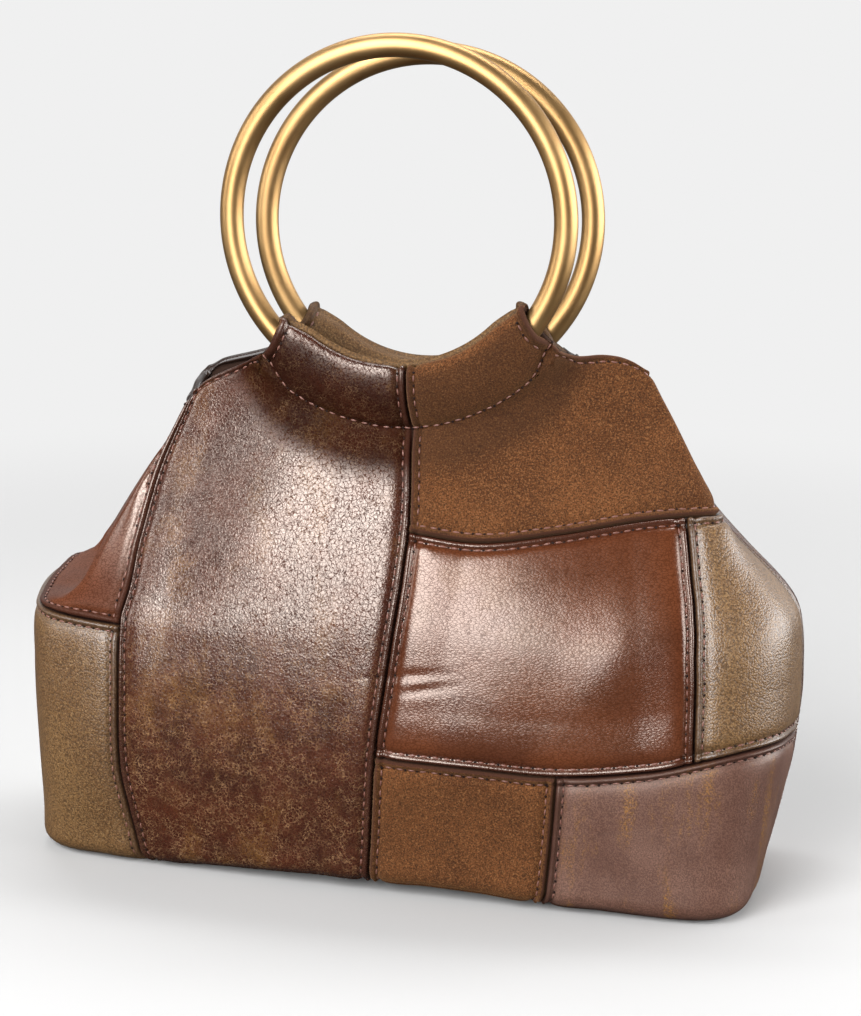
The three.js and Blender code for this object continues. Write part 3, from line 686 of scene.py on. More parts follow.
def make_panel(name, finish, slot, lines, bottom, top, edges, sleeve=None, rim_ends=None, dull_to=None):
    """A panel between upright lines and between a bottom and a top line. edges says what each of
    its sides is: a seam or a free edge. Between two of the lines a sleeve folds over a ring. A
    painted rim thins away towards the side it ends at, and dull_to is a height that handling has
    dulled the leather up to."""
    station, height, folded = panel_grid(lines, bottom, top, sleeve)
    plain = wall(station, height)
    normal, far = grid_normals(plain), edge_distances(plain)
    under = folded[:, None]
    free = dict(far, top=np.where(under, FAR, far["top"]))
    clear = smooth((far["top"] - RIM_CLEAR_START) / RIM_CLEAR_FADE) if edges["top"] == "rim" else 1.0
    rim_share = smooth(far[rim_ends] / RIM_END_FADE) if rim_ends else 1.0
    shares = {"left": clear, "right": clear, "bottom": 1.0, "top": rim_share}
    forms = [(FORMS[edges[side]], free[side], share) for side, share in shares.items()]
    forms.append((UNDER_FORM, np.where(under, far["top"], FAR), 1.0))
    outer, inner = leather(plain, normal, forms, drape(station, height))
    dull_and_shade = np.zeros(height.shape)
    if dull_to:
        dull_and_shade = DULL_AND_SHADE_LEVEL * (1 - smooth((height - dull_to) / HANDLED_FADE))
    # The tuck below a sleeve is dulled and painted darker as shade.
    if sleeve:
        dull_and_shade = np.maximum(dull_and_shade, under_sleeve(sleeve["handle"], plain))
    index = grid_index(outer)
    quads = [grid_quads(index)]
    parts = [{"outer": outer, "inner": inner, "dull_and_shade": dull_and_shade, **edge_marks(edges, free)}]
    if not sleeve:
        edge_stitches(outer, normal, far, edges)
    else:
        first, last = np.flatnonzero(folded)[[0, -1]]
        unfolded = dict(far, top=np.where(under, 0.0, far["top"]))
        for beside in (slice(0, first + 1), slice(last, None)):
            if len(outer[beside]) > SHORTEST_ROW:
                local = {side: value[beside] for side, value in unfolded.items()}
                edge_stitches(outer[beside], normal[beside], local, {"top": edges["top"]})
        edge_stitches(outer, normal, far, {side: kind for side, kind in edges.items() if side != "top"})
        tab = make_tab(plain[folded, -1], sleeve)
        fresh = grid_index(tab["outer"][:, 1:]) + index.size
        quads.append(grid_quads(np.concatenate([index[folded, -1:], fresh], 1)))
        parts.append({key: values[:, 1:] for key, values in tab.items()})

    def joined(key):
        return np.concatenate([part[key].reshape(-1, *part[key].shape[2:]) for part in parts])

    marks = {mark: joined(mark) for mark in ("rim", "seam", "dull_and_shade")}
    mesh = sheet_mesh(name, joined("outer"), joined("inner"), np.concatenate(quads), finish, marks)
    add_piece(name + "_leather", mesh, "bag", slot, name)


def make_facing(name, handle, finish, slot):
    """The inside of a sleeve: from the panel's edge on top of the wire down to the stitch line."""
    left, right = handle["arc"]
    angles = mix(left, right, spaced(RING_RADIUS * (right - left), True, True))
    if not handle["faces_front"]:
        angles = angles[::-1]
    folds = np.linspace(FOLD_EDGE + FACING_CLEARANCE, FOLD_END, FACING_FOLDS)
    behind = PANEL_PROUD - LEATHER - LAYER_GAP
    half_way = np.array([0.5, 1.0])

    def sheet(depth, lowest):
        turn, radius, proud = fold_point(handle, angles[:, None], folds[None, :], depth)
        down = stitch_radius(handle, angles)[:, None]
        columns = (np.concatenate([turn, np.tile(angles[:, None], (1, 2))], 1),
                   np.concatenate([radius, mix(radius[:, -1:], down, half_way)], 1),
                   np.concatenate([proud, mix(proud[:, -1:], lowest, half_way)], 1))
        keys = np.arange(columns[0].shape[1])
        share = np.linspace(0, keys[-1], FACING_ROWS)
        finer = [np.stack([np.interp(share, keys, row) for row in column]) for column in columns]
        return ring_point(handle, *finer)

    plain, back = sheet(0, behind - LEATHER), sheet(LEATHER, behind)
    normal, far = grid_normals(plain), edge_distances(plain)
    sides = {"left": "hem", "right": "hem"}
    forms = [(FORMS[kind], far[side], 1.0) for side, kind in sides.items()]
    outside, inside = stand_off(forms + [(CREST_FORM, far["bottom"], 1.0)])
    outer = plain + normal * outside[..., None]
    inner = back + normal * inside[..., None]
    edge_stitches(outer, normal, far, sides)
    # The whole facing is dulled, and painted a little darker as shade.
    marks = dict(edge_marks(sides, far), dull_and_shade=np.ones(outer.shape[:2]))
    mesh = sheet_mesh(name, outer, inner, grid_quads(grid_index(outer)), finish, marks)
    add_piece(name + "_leather", mesh, "bag", slot, name)


def make_base(finish):
    """The base, flat on the floor, with its long edges rising with the walls."""
    last_station, columns, gap, depth = 1.9, 150, 0.5, 100.0
    stations = np.linspace(last_station, -last_station, columns)

    def rim(station):
        edge = wall(station, 0.0)
        outward = edge - wall(station, EDGE_RADIUS)
        outward[:, 2] = 0
        outward /= np.linalg.norm(outward, axis=1, keepdims=True)
        edge += outward * gap
        edge[:, 2] -= BASE_PROUD
        return edge

    front, back = rim(stations), rim(4 - stations)
    share = spaced(depth, True, True)
    points = mix(front[:, None], back[:, None], share[None, :, None])
    points[..., 2] = (front[:, None, 2] * smooth(1 - share / LIFT_SHARE)
                      + back[:, None, 2] * smooth(1 - (1 - share) / LIFT_SHARE))
    upper = points + np.array([0, 0, LEATHER])
    far = np.full(points.shape[:2], FAR)
    quads = grid_quads(grid_index(points))
    mesh = sheet_mesh("base_panel", points, upper, quads, finish, {"rim": far, "seam": far})
    add_piece("base_panel_leather", mesh, "bag", "base_leather", "base_panel")


def make_ring(name, handle, body, node):
    """A smooth ring of round wire."""
    around, sides = 192, 32
    turn = np.linspace(0, 2 * math.pi, around, endpoint=False)[:, None]
    wire = np.linspace(0, 2 * math.pi, sides, endpoint=False)[None, :]
    points = ring_point(handle, turn, RING_RADIUS + WIRE_RADIUS * np.cos(wire), WIRE_RADIUS * np.sin(wire))
    index = grid_index(points)
    closed = np.concatenate([index, index[:1]])
    closed = np.concatenate([closed, closed[:, :1]], 1)
    quads = grid_quads(closed)
    if not handle["faces_front"]:
        quads = quads[:, ::-1]
    mesh = new_mesh(name, points, quads, [GOLD])
    add_piece(name, mesh, body, "antique_gold", node)


# Node trees

def feed(tree, socket, value):
    """Link a socket to another node's socket, or set it to a plain value."""
    if isinstance(value, bpy.types.NodeSocket):
        tree.links.new(value, socket)
    else:
        socket.default_value = value


def add_node(tree, kind, links=None, **settings):
    node = tree.nodes.new(kind)
    for key, value in settings.items():
        setattr(node, key, value)
    for key, value in (links or {}).items():
        feed(tree, node.inputs[key], value)
    return node


# Stitches, as instances along every row

def stitch_tree():
    """A stitch at every step along a row, with a dark blob between it and the next: painted shade where the
    thread dives into its hole.
    """
    tree = bpy.data.node_groups.new("stitch_rows", "GeometryNodeTree")
    sockets = {}
    tree.interface.new_socket("Geometry", in_out="INPUT", socket_type="NodeSocketGeometry")
    for size in ("Pitch", "Length", "Width", "Height", "Hole width"):
        sockets[size] = tree.interface.new_socket(size, in_out="INPUT", socket_type="NodeSocketFloat")
    for look in ("Thread", "Hole"):
        sockets[look] = tree.interface.new_socket(look, in_out="INPUT", socket_type="NodeSocketMaterial")
    tree.interface.new_socket("Geometry", in_out="OUTPUT", socket_type="NodeSocketGeometry")

    def add(kind, links=None, **settings):
        """The first output of a new node."""
        return add_node(tree, kind, links, **settings).outputs[0]

    given = add_node(tree, "NodeGroupInput").outputs
    line = add("GeometryNodeMeshToCurve", {"Mesh": given["Geometry"]})
    row = add("GeometryNodeResampleCurve", {"Curve": line, "Length": given["Pitch"]}, mode="LENGTH")

    bead = add("GeometryNodeMeshUVSphere", {"Segments": 8, "Rings": 4, "Radius": 0.5})
    size = add("ShaderNodeCombineXYZ", {"X": given["Length"], "Y": given["Width"], "Z": given["Height"]})
    shaped = add("GeometryNodeTransform", {"Geometry": bead, "Scale": size})
    sewn = add("GeometryNodeSetMaterial", {"Geometry": shaped, "Material": given["Thread"]})

    dot = add("GeometryNodeMeshUVSphere", {"Segments": 6, "Rings": 3, "Radius": 0.5})
    half = add("ShaderNodeMath", {0: given["Pitch"], 1: 0.5}, operation="MULTIPLY")
    sunk = add("ShaderNodeMath", {0: given["Height"], 1: -HOLE_SINK}, operation="MULTIPLY")
    aside = add("ShaderNodeCombineXYZ", {"X": half, "Z": sunk})
    width = given["Hole width"]
    flat = add("ShaderNodeCombineXYZ", {"X": width, "Y": width, "Z": given["Height"]})
    pressed = add("GeometryNodeTransform", {"Geometry": dot, "Translation": aside, "Scale": flat})
    pierced = add("GeometryNodeSetMaterial", {"Geometry": pressed, "Material": given["Hole"]})

    stitch = add_node(tree, "GeometryNodeJoinGeometry")
    for shape in (sewn, pierced):
        tree.links.new(shape, stitch.inputs["Geometry"])

    tangent = add("GeometryNodeInputTangent")
    lie = add("GeometryNodeInputNamedAttribute", {"Name": "lie"}, data_type="FLOAT_VECTOR")
    reach = {"Min": (-STITCH_WANDER,) * 3, "Max": (STITCH_WANDER,) * 3, "Seed": 7}
    wander = add("FunctionNodeRandomValue", reach, data_type="FLOAT_VECTOR")
    way = add("ShaderNodeVectorMath", {0: tangent, 1: wander}, operation="ADD")
    turned = add("FunctionNodeAlignRotationToVector", {"Vector": way}, axis="X")
    upright = {"Rotation": turned, "Vector": lie}
    laid = add("FunctionNodeAlignRotationToVector", upright, axis="Z", pivot_axis="X")
    spots = {"Points": row, "Instance": stitch.outputs["Geometry"], "Rotation": laid}
    real = add("GeometryNodeRealizeInstances", {"Geometry": add("GeometryNodeInstanceOnPoints", spots)})
    soft = add("GeometryNodeSetShadeSmooth", {"Geometry": real})
    add_node(tree, "NodeGroupOutput", {"Geometry": soft})
    return tree, {name: socket.identifier for name, socket in sockets.items()}


def make_stitches(thread, hole_shade):
    points, edges, lies, start = [], [], [], 0
    for line, lie in stitch_rows:
        points.append(line + lie * STITCH_PROUD)
        lies.append(lie)
        edges.append(np.stack([np.arange(len(line) - 1), np.arange(1, len(line))], 1) + start)
        start += len(line)
    mesh = bpy.data.meshes.new("stitch_lines")
    mesh.from_pydata(np.concatenate(points) * MM, np.concatenate(edges), [])
    lie = mesh.attributes.new("lie", "FLOAT_VECTOR", "POINT")
    lie.data.foreach_set("vector", np.concatenate(lies).astype(np.float32).ravel())
    lines = add_object("stitch_lines", mesh)
    tree, sockets = stitch_tree()
    modifier = lines.modifiers.new("stitches", "NODES")
    modifier.node_group = tree
    sizes = {"Pitch": STITCH_PITCH, "Length": STITCH_LENGTH, "Width": STITCH_WIDTH,
             "Height": STITCH_HEIGHT, "Hole width": HOLE_WIDTH}
    for name, size in sizes.items():
        modifier[sockets[name]] = size * MM
    modifier[sockets["Thread"]] = thread
    modifier[sockets["Hole"]] = hole_shade
    graph = bpy.context.evaluated_depsgraph_get()
    sewn = bpy.data.meshes.new_from_object(lines.evaluated_get(graph))
    lines.modifiers.remove(modifier)
    bpy.data.objects.remove(lines)
    add_piece("stitching", sewn, "bag", "crackled_leather")


# Materials

def srgb(red, green, blue):
    def linear(value):
        share = value / 255
        return share / 12.92 if share <= 0.04045 else ((share + 0.055) / 1.055) ** 2.4
    return (linear(red), linear(green), linear(blue), 1.0)


class Finish:
    """A material being wired: a principled shader and the nodes that feed it. Sizes of patterns are
    millimetres, and the height is metres."""

    def __init__(self, name, **sockets):
        self.material = bpy.data.materials.new(name)
        self.material.use_nodes = True
        self.tree = self.material.node_tree
        self.shader = self.tree.nodes["Principled BSDF"]
        self.place = self.add("ShaderNodeTexCoord", output="Object")
        self.done(**sockets)

    def add(self, kind, links=None, output=0, **settings):
        return add_node(self.tree, kind, links, **settings).outputs[output]

    def done(self, **sockets):
        """Set or link sockets of the shader, whose names have _ for a space here."""
        for name, value in sockets.items():
            feed(self.tree, self.shader.inputs[name.replace("_", " ")], value)
        return self.material

    def stretched(self, x, y, z, place=None, tilt=0.0):
        links = {"Vector": place or self.place, "Rotation": (0.0, tilt, 0.0), "Scale": (x, y, z)}
        return self.add("ShaderNodeMapping", links)

    def noise(self, size, detail=3.0, rough=0.55, bend=0.0, place=None):
        links = {"Vector": place or self.place, "Scale": 1 / (size * MM), "Detail": detail,
                 "Roughness": rough, "Distortion": bend}
        return self.add("ShaderNodeTexNoise", links)

    def cells(self, size, place, feature="DISTANCE_TO_EDGE"):
        links = {"Vector": place, "Scale": 1 / (size * MM)}
        return self.add("ShaderNodeTexVoronoi", links, feature=feature)

    def bent(self, size, reach):
        """The place, pushed about by noise, so that what reads it wanders."""
        links = {"Vector": self.place, "Scale": 1 / (size * MM), "Detail": 2.0}
        push = self.add("ShaderNodeTexNoise", links, output="Color")
        centred = self.add("ShaderNodeVectorMath", {0: push, 1: (0.5, 0.5, 0.5)}, operation="SUBTRACT")
        scaled = self.add("ShaderNodeVectorMath", {0: centred, "Scale": reach * MM}, operation="SCALE")
        return self.add("ShaderNodeVectorMath", {0: self.place, 1: scaled}, operation="ADD")

    def height(self):
        return self.add("ShaderNodeSeparateXYZ", {"Vector": self.place}, output="Z")

    def mark(self, name):
        return self.add("ShaderNodeAttribute", output="Fac", attribute_name=name)

    def ranged(self, value, low, high, to_low=0.0, to_high=1.0):
        links = {"Value": value, "From Min": low, "From Max": high, "To Min": to_low, "To Max": to_high}
        return self.add("ShaderNodeMapRange", links, interpolation_type="SMOOTHSTEP")

    def fade(self, share, start, end):
        return self.ranged(share, 0.0, 1.0, start, end)

    def total(self, operation, values):
        result = values[0]
        for value in values[1:]:
            result = self.add("ShaderNodeMath", {0: result, 1: value}, operation=operation)
        return result

    def sum(self, *values):
        return self.total("ADD", values)

    def times(self, *values):
        return self.total("MULTIPLY", values)

    def blend(self, share, first, second):
        links = {"Factor": share, 6: first, 7: second}
        return self.add("ShaderNodeMix", links, output=2, data_type="RGBA")

    def bump(self, height, reach, under=None):
        links = {"Height": height, "Distance": reach * MM, "Strength": 1.0}
        if under:
            links["Normal"] = under
        return self.add("ShaderNodeBump", links)


WARM_GLOSS = (1.0, 0.87, 0.78, 1.0)
# The dark of a seam's groove, also the colour of the painted shade in the stitch channels
GROOVE_AND_SHADE = srgb(28, 14, 10)
LIP = srgb(56, 31, 23)


def with_edges(finish, colour, lip=0.6, width=2.4):
    """At the seams dark lips and grooves, painted shade in the stitch channels beside them, and dark beside a
    painted rim.
    """
    seam = finish.mark("seam")
    # Painted shade in the recessed stitch channel beside each seam.
    channel_shade = finish.ranged(seam, width + 0.3, width + 2.8, 0.55, 0.0)
    colour = finish.blend(channel_shade, colour, finish.blend(0.55, colour, GROOVE_AND_SHADE))
    colour = finish.blend(finish.ranged(seam, width - 0.2, width + 0.4, lip, 0.0), colour, LIP)
    colour = finish.blend(finish.ranged(seam, 0.25, 0.65, 0.95, 0.0), colour, GROOVE_AND_SHADE)
    return finish.blend(finish.ranged(finish.mark("rim"), 3.2, 5.0, 0.6, 0.0), colour, GROOVE_AND_SHADE)


def crackled_leather():
    finish = Finish("crackled_leather", IOR=1.54, Specular_Tint=WARM_GLOSS)
    dull_and_shade = finish.mark("dull_and_shade")
    pebbles = finish.cells(1.25, finish.bent(1.5, 1.3))
    crease = finish.ranged(pebbles, 0.0, 0.13, 1.0, 0.0)
    plates = finish.cells(1.9, finish.bent(1.3, 2.4))
    broken = finish.ranged(finish.noise(1.4, 2), 0.36, 0.58, 0.3, 1.0)
    crack = finish.times(finish.ranged(plates, 0.0, 0.1, 1.0, 0.0), broken)
    thin = finish.ranged(finish.cells(1.35, finish.bent(0.9, 1.8)), 0.0, 0.075, 1.0, 0.0)
    faint = finish.ranged(finish.noise(3.2, 3, 0.65), 0.36, 0.62, 0.2, 1.0)
    worn = finish.ranged(finish.noise(8, 4, 0.6), 0.36, 0.56, 0.25, 1.0)
    bare = finish.sum(finish.ranged(finish.height(), 0.065, 0.13, 0.52, 0.04), finish.times(dull_and_shade, 0.13))
    hair = finish.times(thin, faint, worn, bare)
    cloud = finish.noise(24, 4, 0.6, 0.2, finish.stretched(1.2, 1.2, 0.5))
    specks = finish.ranged(finish.noise(0.7, 3, 0.7), 0.4, 0.62)
    low = finish.ranged(finish.height(), 0.09, 0.15, 1.0, 0.75)
    rubbed = finish.times(finish.ranged(cloud, 0.5, 0.68), specks, low)
    tone = finish.ranged(finish.noise(18, 5, 0.65), 0.3, 0.7)
    colour = finish.blend(tone, srgb(47, 18, 9), srgb(68, 30, 15))
    colour = finish.blend(finish.times(crease, 0.6), colour, srgb(36, 16, 10))
    colour = finish.blend(finish.times(rubbed, 0.6), colour, srgb(112, 78, 40))
    # Painted shade: darker in the tuck below a sleeve and down the sleeve's fold.
    colour = finish.blend(finish.fade(dull_and_shade, 0.0, 0.65), colour, srgb(24, 10, 6))
    colour = finish.blend(hair, colour, srgb(184, 146, 106))
    gloss = finish.times(finish.fade(crease, 1.0, 0.5), finish.fade(crack, 1.0, 0.05),
                         finish.fade(dull_and_shade, 1.0, 0.04))
    polish = finish.ranged(finish.noise(9, 4, 0.6), 0.3, 0.7, 0.19, 0.25)
    rough = finish.sum(polish, finish.times(crack, 0.3), finish.times(dull_and_shade, 0.25))
    grain = finish.bump(finish.noise(0.8, 2, 0.5), 0.045, finish.bump(finish.noise(6, 3), 0.16))
    grain = finish.bump(finish.ranged(plates, 0.0, 0.16), 0.025, grain)
    grain = finish.bump(finish.ranged(pebbles, 0.0, 0.4), 0.028, grain)
    return finish.done(Base_Color=with_edges(finish, colour), Specular_IOR_Level=gloss, Roughness=rough,
                       Normal=grain)


def suede():
    finish = Finish("suede", Specular_IOR_Level=0.15, Roughness=0.9, Sheen_Weight=0.25,
                    Sheen_Roughness=0.5, Sheen_Tint=srgb(214, 160, 110))
    nap = finish.noise(0.6, 3, 0.75)
    stroke = finish.ranged(finish.noise(36, 4, 0.6), 0.32, 0.68)
    specks = finish.ranged(finish.noise(0.7, 3, 0.7), 0.5, 0.66, 0.0, 0.42)
    colour = finish.blend(stroke, srgb(75, 42, 19), srgb(98, 59, 30))
    colour = finish.blend(finish.ranged(nap, 0.38, 0.6, 0.85, 0.0), colour, srgb(36, 19, 9))
    colour = finish.blend(specks, colour, srgb(148, 102, 62))
    # Painted shade: darker in the tuck below a sleeve and down the sleeve's fold.
    colour = finish.blend(finish.fade(finish.mark("dull_and_shade"), 0.0, 0.6), colour, srgb(40, 22, 10))
    return finish.done(Base_Color=with_edges(finish, colour, 0.85, 1.3), Normal=finish.bump(nap, 0.2))


def cognac_leather():
    finish = Finish("cognac_leather", IOR=1.51, Specular_Tint=WARM_GLOSS)
    dull_and_shade = finish.mark("dull_and_shade")
    slant = finish.stretched(0.7, 1.0, 1.3, finish.bent(1.6, 1.2), tilt=0.6)
    pebbles = finish.cells(1.2, slant)
    crease = finish.ranged(pebbles, 0.0, 0.15, 1.0, 0.0)
    cloud = finish.noise(40, 4, 0.6)
    colour = finish.blend(finish.ranged(cloud, 0.3, 0.7), srgb(71, 35, 18), srgb(89, 46, 24))
    colour = finish.blend(finish.times(crease, 0.5), colour, srgb(38, 17, 8))
    gloss = finish.times(finish.fade(crease, 1.0, 0.4), finish.fade(dull_and_shade, 1.0, 0.1))
    rough = finish.sum(finish.ranged(cloud, 0.3, 0.7, 0.2, 0.24), finish.times(dull_and_shade, 0.4))
    folds = finish.bump(finish.noise(9, 3, 0.5, 0.3), 0.08)
    grain = finish.bump(finish.ranged(pebbles, 0.0, 0.4), 0.017, folds)
    return finish.done(Base_Color=with_edges(finish, colour), Specular_IOR_Level=gloss, Roughness=rough,
                       Normal=grain)


def olive_leather():
    finish = Finish("olive_leather")
    dull_and_shade = finish.mark("dull_and_shade")
    grain = finish.cells(0.8, finish.bent(2.2, 0.8), "F1")
    mottle = finish.noise(1.6, 4, 0.7)
    cloud = finish.noise(34, 4, 0.6, 0.2, finish.stretched(1.0, 1.0, 0.6))
    specks = finish.ranged(finish.noise(0.8, 3, 0.7), 0.5, 0.66, 0.0, 0.42)
    colour = finish.blend(finish.ranged(cloud, 0.3, 0.7), srgb(91, 63, 35), srgb(110, 81, 48))
    colour = finish.blend(finish.ranged(mottle, 0.4, 0.62, 0.0, 0.3), colour, srgb(76, 50, 25))
    colour = finish.blend(finish.ranged(grain, 0.36, 0.7, 0.0, 0.7), colour, srgb(54, 35, 16))
    colour = finish.blend(specks, colour, srgb(156, 124, 82))
    # Painted shade: the facings inside the sleeves a little darker.
    colour = finish.blend(finish.fade(dull_and_shade, 0.0, 0.15), colour, srgb(46, 31, 16))
    rough = finish.sum(finish.ranged(mottle, 0.3, 0.7, 0.34, 0.44), finish.times(dull_and_shade, 0.25))
    return finish.done(Base_Color=with_edges(finish, colour, 0.25), Roughness=rough,
                       Specular_IOR_Level=finish.fade(dull_and_shade, 0.75, 0.2), Normal=finish.bump(grain, -0.14))


def mauve_leather():
    finish = Finish("mauve_leather", Specular_IOR_Level=0.4, Specular_Tint=WARM_GLOSS)
    grain = finish.noise(0.6, 3, 0.7)
    streak = finish.noise(15, 4, 0.6, 0.2, finish.stretched(1.8, 1.8, 0.3))
    flecks = finish.ranged(finish.noise(0.9, 3, 0.75), 0.44, 0.6)
    cloud = finish.noise(26, 4, 0.6)
    ochre = finish.times(finish.ranged(streak, 0.5, 0.66), flecks)
    colour = finish.blend(finish.ranged(cloud, 0.3, 0.7), srgb(92, 64, 54), srgb(112, 82, 70))
    colour = finish.blend(ochre, colour, srgb(132, 92, 44))
    colour = finish.blend(finish.ranged(grain, 0.4, 0.62, 0.65, 0.0), colour, srgb(58, 38, 31))
    return finish.done(Base_Color=with_edges(finish, colour), Normal=finish.bump(grain, 0.14),
                       Roughness=finish.ranged(cloud, 0.3, 0.7, 0.36, 0.48))


def edge_paint():
    finish = Finish("edge_paint", Specular_IOR_Level=0.4, Roughness=0.32)
    return finish.done(Base_Color=finish.blend(finish.noise(6, 3), srgb(26, 16, 12), srgb(40, 26, 20)))


def base_leather():
    finish = Finish("base_leather", Specular_IOR_Level=0.4, Roughness=0.55)
    grain = finish.cells(1.0, finish.bent(2.5, 0.9), "F1")
    colour = finish.blend(finish.noise(20, 4), srgb(52, 30, 22), srgb(74, 45, 33))
    return finish.done(Base_Color=colour, Normal=finish.bump(grain, -0.2))


def lining():
    finish = Finish("lining", Specular_IOR_Level=0.2, Roughness=0.9)
    nap = finish.noise(0.7, 3, 0.7)
    colour = finish.blend(finish.noise(25, 4), srgb(40, 26, 20), srgb(58, 39, 30))
    return finish.done(Base_Color=colour, Normal=finish.bump(nap, 0.2))


def antique_gold():
    finish = Finish("antique_gold", Metallic=1.0)
    cloud = finish.noise(24, 3, 0.5)
    fine = finish.noise(0.8, 3, 0.6)
    colour = finish.blend(finish.ranged(cloud, 0.3, 0.7), srgb(162, 127, 82), srgb(176, 142, 96))
    rough = finish.ranged(cloud, 0.3, 0.7, 0.4, 0.46)
    return finish.done(Base_Color=colour, Roughness=rough, Normal=finish.bump(fine, 0.0006))


def thread():
    finish = Finish("thread", Specular_IOR_Level=0.5, Roughness=0.4)
    return finish.done(Base_Color=finish.blend(finish.noise(3, 2), srgb(92, 57, 48), srgb(128, 88, 76)))


# Painted shade: the dark blobs sunk between stitches stand in for the shade in the stitch holes.
def stitch_hole_shade():
    finish = Finish("stitch_hole_shade", Specular_IOR_Level=0.2, Roughness=0.8)
    return finish.done(Base_Color=finish.blend(finish.noise(3, 2), srgb(24, 12, 9), srgb(34, 18, 13)))


BACKDROP = srgb(240, 240, 240)
FLOOR_SEEN = srgb(179, 179, 179)
FLOOR_BOUNCE = srgb(66, 66, 66)
FLOOR_GLOW = srgb(64, 64, 64)


def pale_floor():
    """Plain near the bag, and as pale as the backdrop further off. It sends back less light than it
    shows."""
    finish = Finish("pale_floor", Specular_IOR_Level=0.0, Roughness=0.9)
    seen = finish.add("ShaderNodeLightPath", output="Is Camera Ray")
    reach = finish.add("ShaderNodeVectorMath", {0: finish.place}, output="Value", operation="LENGTH")
    far = finish.ranged(reach, 0.35, 0.9)
    near = finish.blend(seen, FLOOR_BOUNCE, FLOOR_SEEN)
    return finish.done(Base_Color=finish.blend(far, near, srgb(0, 0, 0)), Emission_Strength=far,
                       Emission_Color=finish.blend(seen, FLOOR_GLOW, BACKDROP))


LINING = lining()
PAINTED = edge_paint()
GOLD = antique_gold()
CRACKLED = crackled_leather()
SUEDE = suede()
COGNAC = cognac_leather()
OLIVE = olive_leather()
MAUVE = mauve_leather()


# The bag's panels

centre, left_seam, right_seam = station_of(CENTRE_SEAM), station_of(LEFT_SEAM), station_of(RIGHT_SEAM)
back_left = station_of(BACK_LEFT_SEAM)
upper, lower = height_of(UPPER_SEAM), height_of(LOWER_SEAM)
left_rim, back_seam, free_top = height_of(LEFT_RIM), height_of(BACK_SEAM), height_of(TOP_EDGE)


def back_left_from_left(height):
    return back_left(height) - ALL_ROUND


SEWN = {"left": "seam", "right": "seam", "bottom": "seam", "top": "seam"}
OPEN_TOP = dict(SEWN, top="edge")
PAINTED_TOP = dict(SEWN, top="rim")

make_panel("front_left_panel", CRACKLED, "crackled_leather",
           [left_seam, station_of(SLEEVE_LEFT_END), centre], None, free_top, OPEN_TOP,
           {"handle": FRONT_HANDLE, "between": (1, 2), "sides": {"left": "hem", "right": "seam"}})
make_panel("front_upper_right_panel", SUEDE, "suede",
           [centre, station_of(SLEEVE_RIGHT_END), at(1), at(2)], upper, free_top, OPEN_TOP,
           {"handle": FRONT_HANDLE, "between": (0, 1), "sides": {"left": "seam", "right": "hem"}})
make_panel("front_middle_panel", COGNAC, "cognac_leather", [centre, right_seam], lower, upper, SEWN)
make_panel("right_side_panel", OLIVE, "olive_leather", [right_seam, at(1), at(2)], lower, upper, SEWN)
make_panel("front_lower_panel", SUEDE, "suede", [centre, at(LOWER_RIGHT_STATION)], None, lower, SEWN)
make_panel("right_lower_panel", MAUVE, "mauve_leather",
           [at(LOWER_RIGHT_STATION), at(1), at(2)], None, lower, SEWN)
make_panel("left_side_panel", OLIVE, "olive_leather",
           [back_left_from_left, at(-3), at(-2), at(-1), left_seam], None, left_rim, SEWN)
make_panel("left_gusset", COGNAC, "cognac_leather",
           [back_left_from_left, at(-3), at(-2), at(-1), left_seam], left_rim, free_top, PAINTED_TOP,
           rim_ends="right", dull_to=112)
make_panel("back_upper_panel", CRACKLED, "crackled_leather",
           [at(2), at(3), station_of(BACK_SLEEVE_RIGHT_END), station_of(BACK_SLEEVE_LEFT_END), back_left],
           back_seam, free_top, PAINTED_TOP,
           {"handle": BACK_HANDLE, "between": (2, 3), "sides": {"left": "hem", "right": "hem"}})
make_panel("back_lower_right_panel", COGNAC, "cognac_leather",
           [at(2), at(3), at(BACK_LOWER_STATION)], None, back_seam, SEWN)
make_panel("back_lower_left_panel", SUEDE, "suede",
           [at(BACK_LOWER_STATION), back_left], None, back_seam, SEWN)
make_facing("front_sleeve_facing", FRONT_HANDLE, OLIVE, "olive_leather")
make_facing("back_sleeve_facing", BACK_HANDLE, OLIVE, "olive_leather")
make_base(base_leather())
make_stitches(thread(), stitch_hole_shade())
make_ring("front_ring_handle", FRONT_HANDLE, "ring_front", "front_ring")
make_ring("back_ring_handle", BACK_HANDLE, "ring_rear", "back_ring")


# Floor, light and camera

def make_floor():
    reach = 4.0
    mesh = bpy.data.meshes.new("floor")
    corners = [(-reach, -reach, 0), (reach, -reach, 0), (reach, reach, 0), (-reach, reach, 0)]
    mesh.from_pydata(corners, [], [(0, 1, 2, 3)])
    mesh.materials.append(pale_floor())
    add_object("floor", mesh)


def aim(place, target, roll):
    """The turn that points an object's -Z from a place to a target, rolled by some degrees."""
    back = np.array(place, float) - np.array(target, float)
    back /= np.linalg.norm(back)
    level = np.cross((0, 0, 1), back)
    level /= np.linalg.norm(level)
    upright = np.cross(back, level)
    roll = math.radians(roll)
    right = level * math.cos(roll) + upright * math.sin(roll)
    return right, upright * math.cos(roll) - level * math.sin(roll), back


def placed(right, up, back, place):
    matrix = Matrix.Identity(4)
    for k in range(3):
        matrix[k][0], matrix[k][1], matrix[k][2], matrix[k][3] = right[k], up[k], back[k], place[k]
    return matrix


def make_light(name, shape, place, target, width, height, power, roll=0.0):
    light = bpy.data.lights.new(name, "AREA")
    light.shape = shape
    light.size, light.size_y, light.energy = width, height, power
    add_object(name, light).matrix_world = placed(*aim(place, target, roll), place)


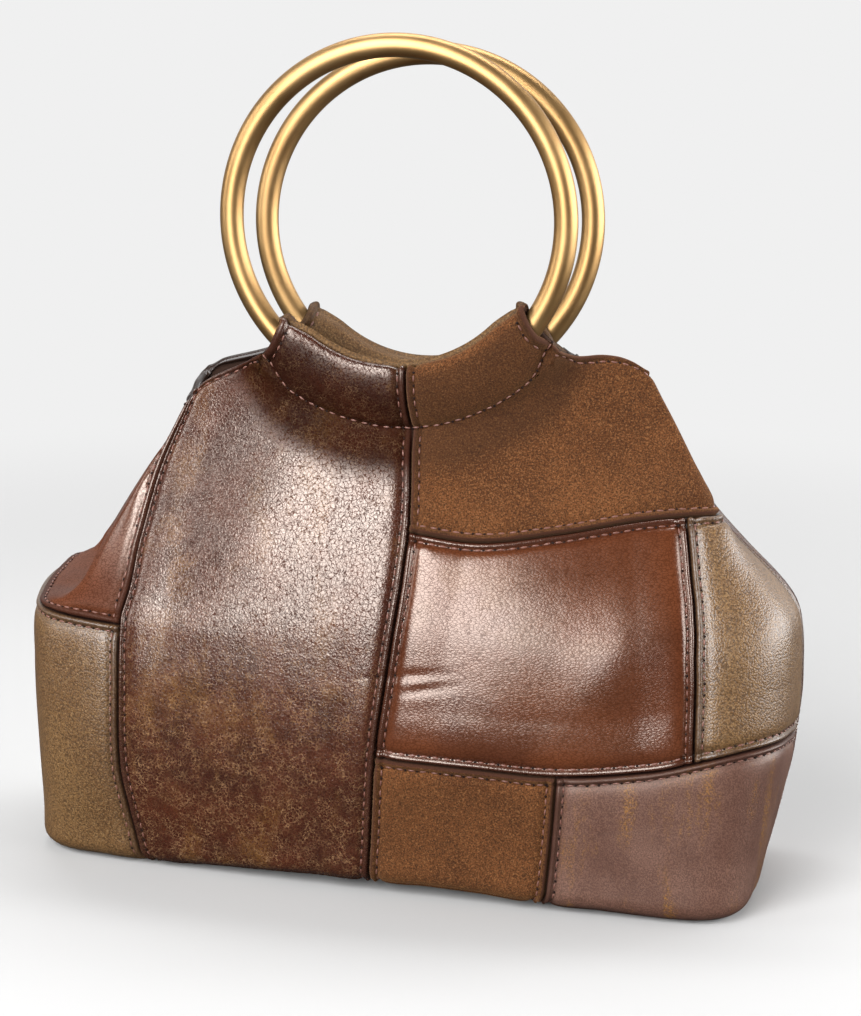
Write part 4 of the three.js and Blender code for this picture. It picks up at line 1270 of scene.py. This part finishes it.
def make_camera():
    azimuth, elevation, roll = math.radians(11.8), math.radians(13.5), 0.5
    target, distance, lens = np.array([0.0056, 0, 0.1456]), 1.0, 88.33
    back = np.array([math.sin(azimuth) * math.cos(elevation), -math.cos(azimuth) * math.cos(elevation),
                     math.sin(elevation)])
    place = target + distance * back
    data = bpy.data.cameras.new("camera")
    data.lens, data.sensor_width = lens, 36.0
    camera = add_object("camera", data)
    camera.matrix_world = placed(*aim(place, target, roll), place)
    bpy.context.scene.camera = camera


def make_world():
    """A pale studio all round, darker on the camera's side, with a plain backdrop."""
    world = bpy.data.worlds.new("studio")
    bpy.context.scene.world = world
    world.use_nodes = True
    tree = world.node_tree
    glow = tree.nodes["Background"]
    way = add_node(tree, "ShaderNodeTexCoord").outputs["Generated"]
    facing = add_node(tree, "ShaderNodeVectorMath", {0: way, 1: (0.0, -1.0, 0.0)}, operation="DOT_PRODUCT")
    strength = add_node(tree, "ShaderNodeMapRange", {
        "Value": facing.outputs["Value"], "From Min": -0.9, "From Max": -0.15, "To Min": 1.0, "To Max": 0.05})
    feed(tree, glow.inputs["Color"], srgb(255, 255, 255))
    feed(tree, glow.inputs["Strength"], strength.outputs["Result"])
    backdrop = add_node(tree, "ShaderNodeBackground", {"Color": BACKDROP})
    seen = add_node(tree, "ShaderNodeLightPath").outputs["Is Camera Ray"]
    shown = add_node(tree, "ShaderNodeMixShader", {
        "Fac": seen, 1: glow.outputs["Background"], 2: backdrop.outputs["Background"]})
    feed(tree, tree.nodes["World Output"].inputs["Surface"], shown.outputs["Shader"])


BAG_MIDDLE, RINGS_FOOT = (0, 0, 0.12), (0, 0, 0.2)

make_floor()
make_light("softbox", "ELLIPSE", (-0.381, -1.326, 0.71), BAG_MIDDLE, width=0.87, height=2.34, power=57,
           roll=17)
make_light("upper_left_panel", "RECTANGLE", (-0.69, -0.92, 1.08), BAG_MIDDLE, width=0.45, height=0.45,
           power=3.2)
make_light("left_panel", "RECTANGLE", (-1.3, -0.45, 0.58), BAG_MIDDLE, width=0.44, height=0.9, power=7)
make_light("top_strip", "RECTANGLE", (0.0, 0.45, 1.35), RINGS_FOOT, width=1.3, height=0.3, power=14)
make_light("right_panel", "RECTANGLE", (1.3, 0.15, 0.4), BAG_MIDDLE, width=1.7, height=0.8, power=34)
make_world()
make_camera()
bpy.context.scene.view_settings.view_transform = "Standard"
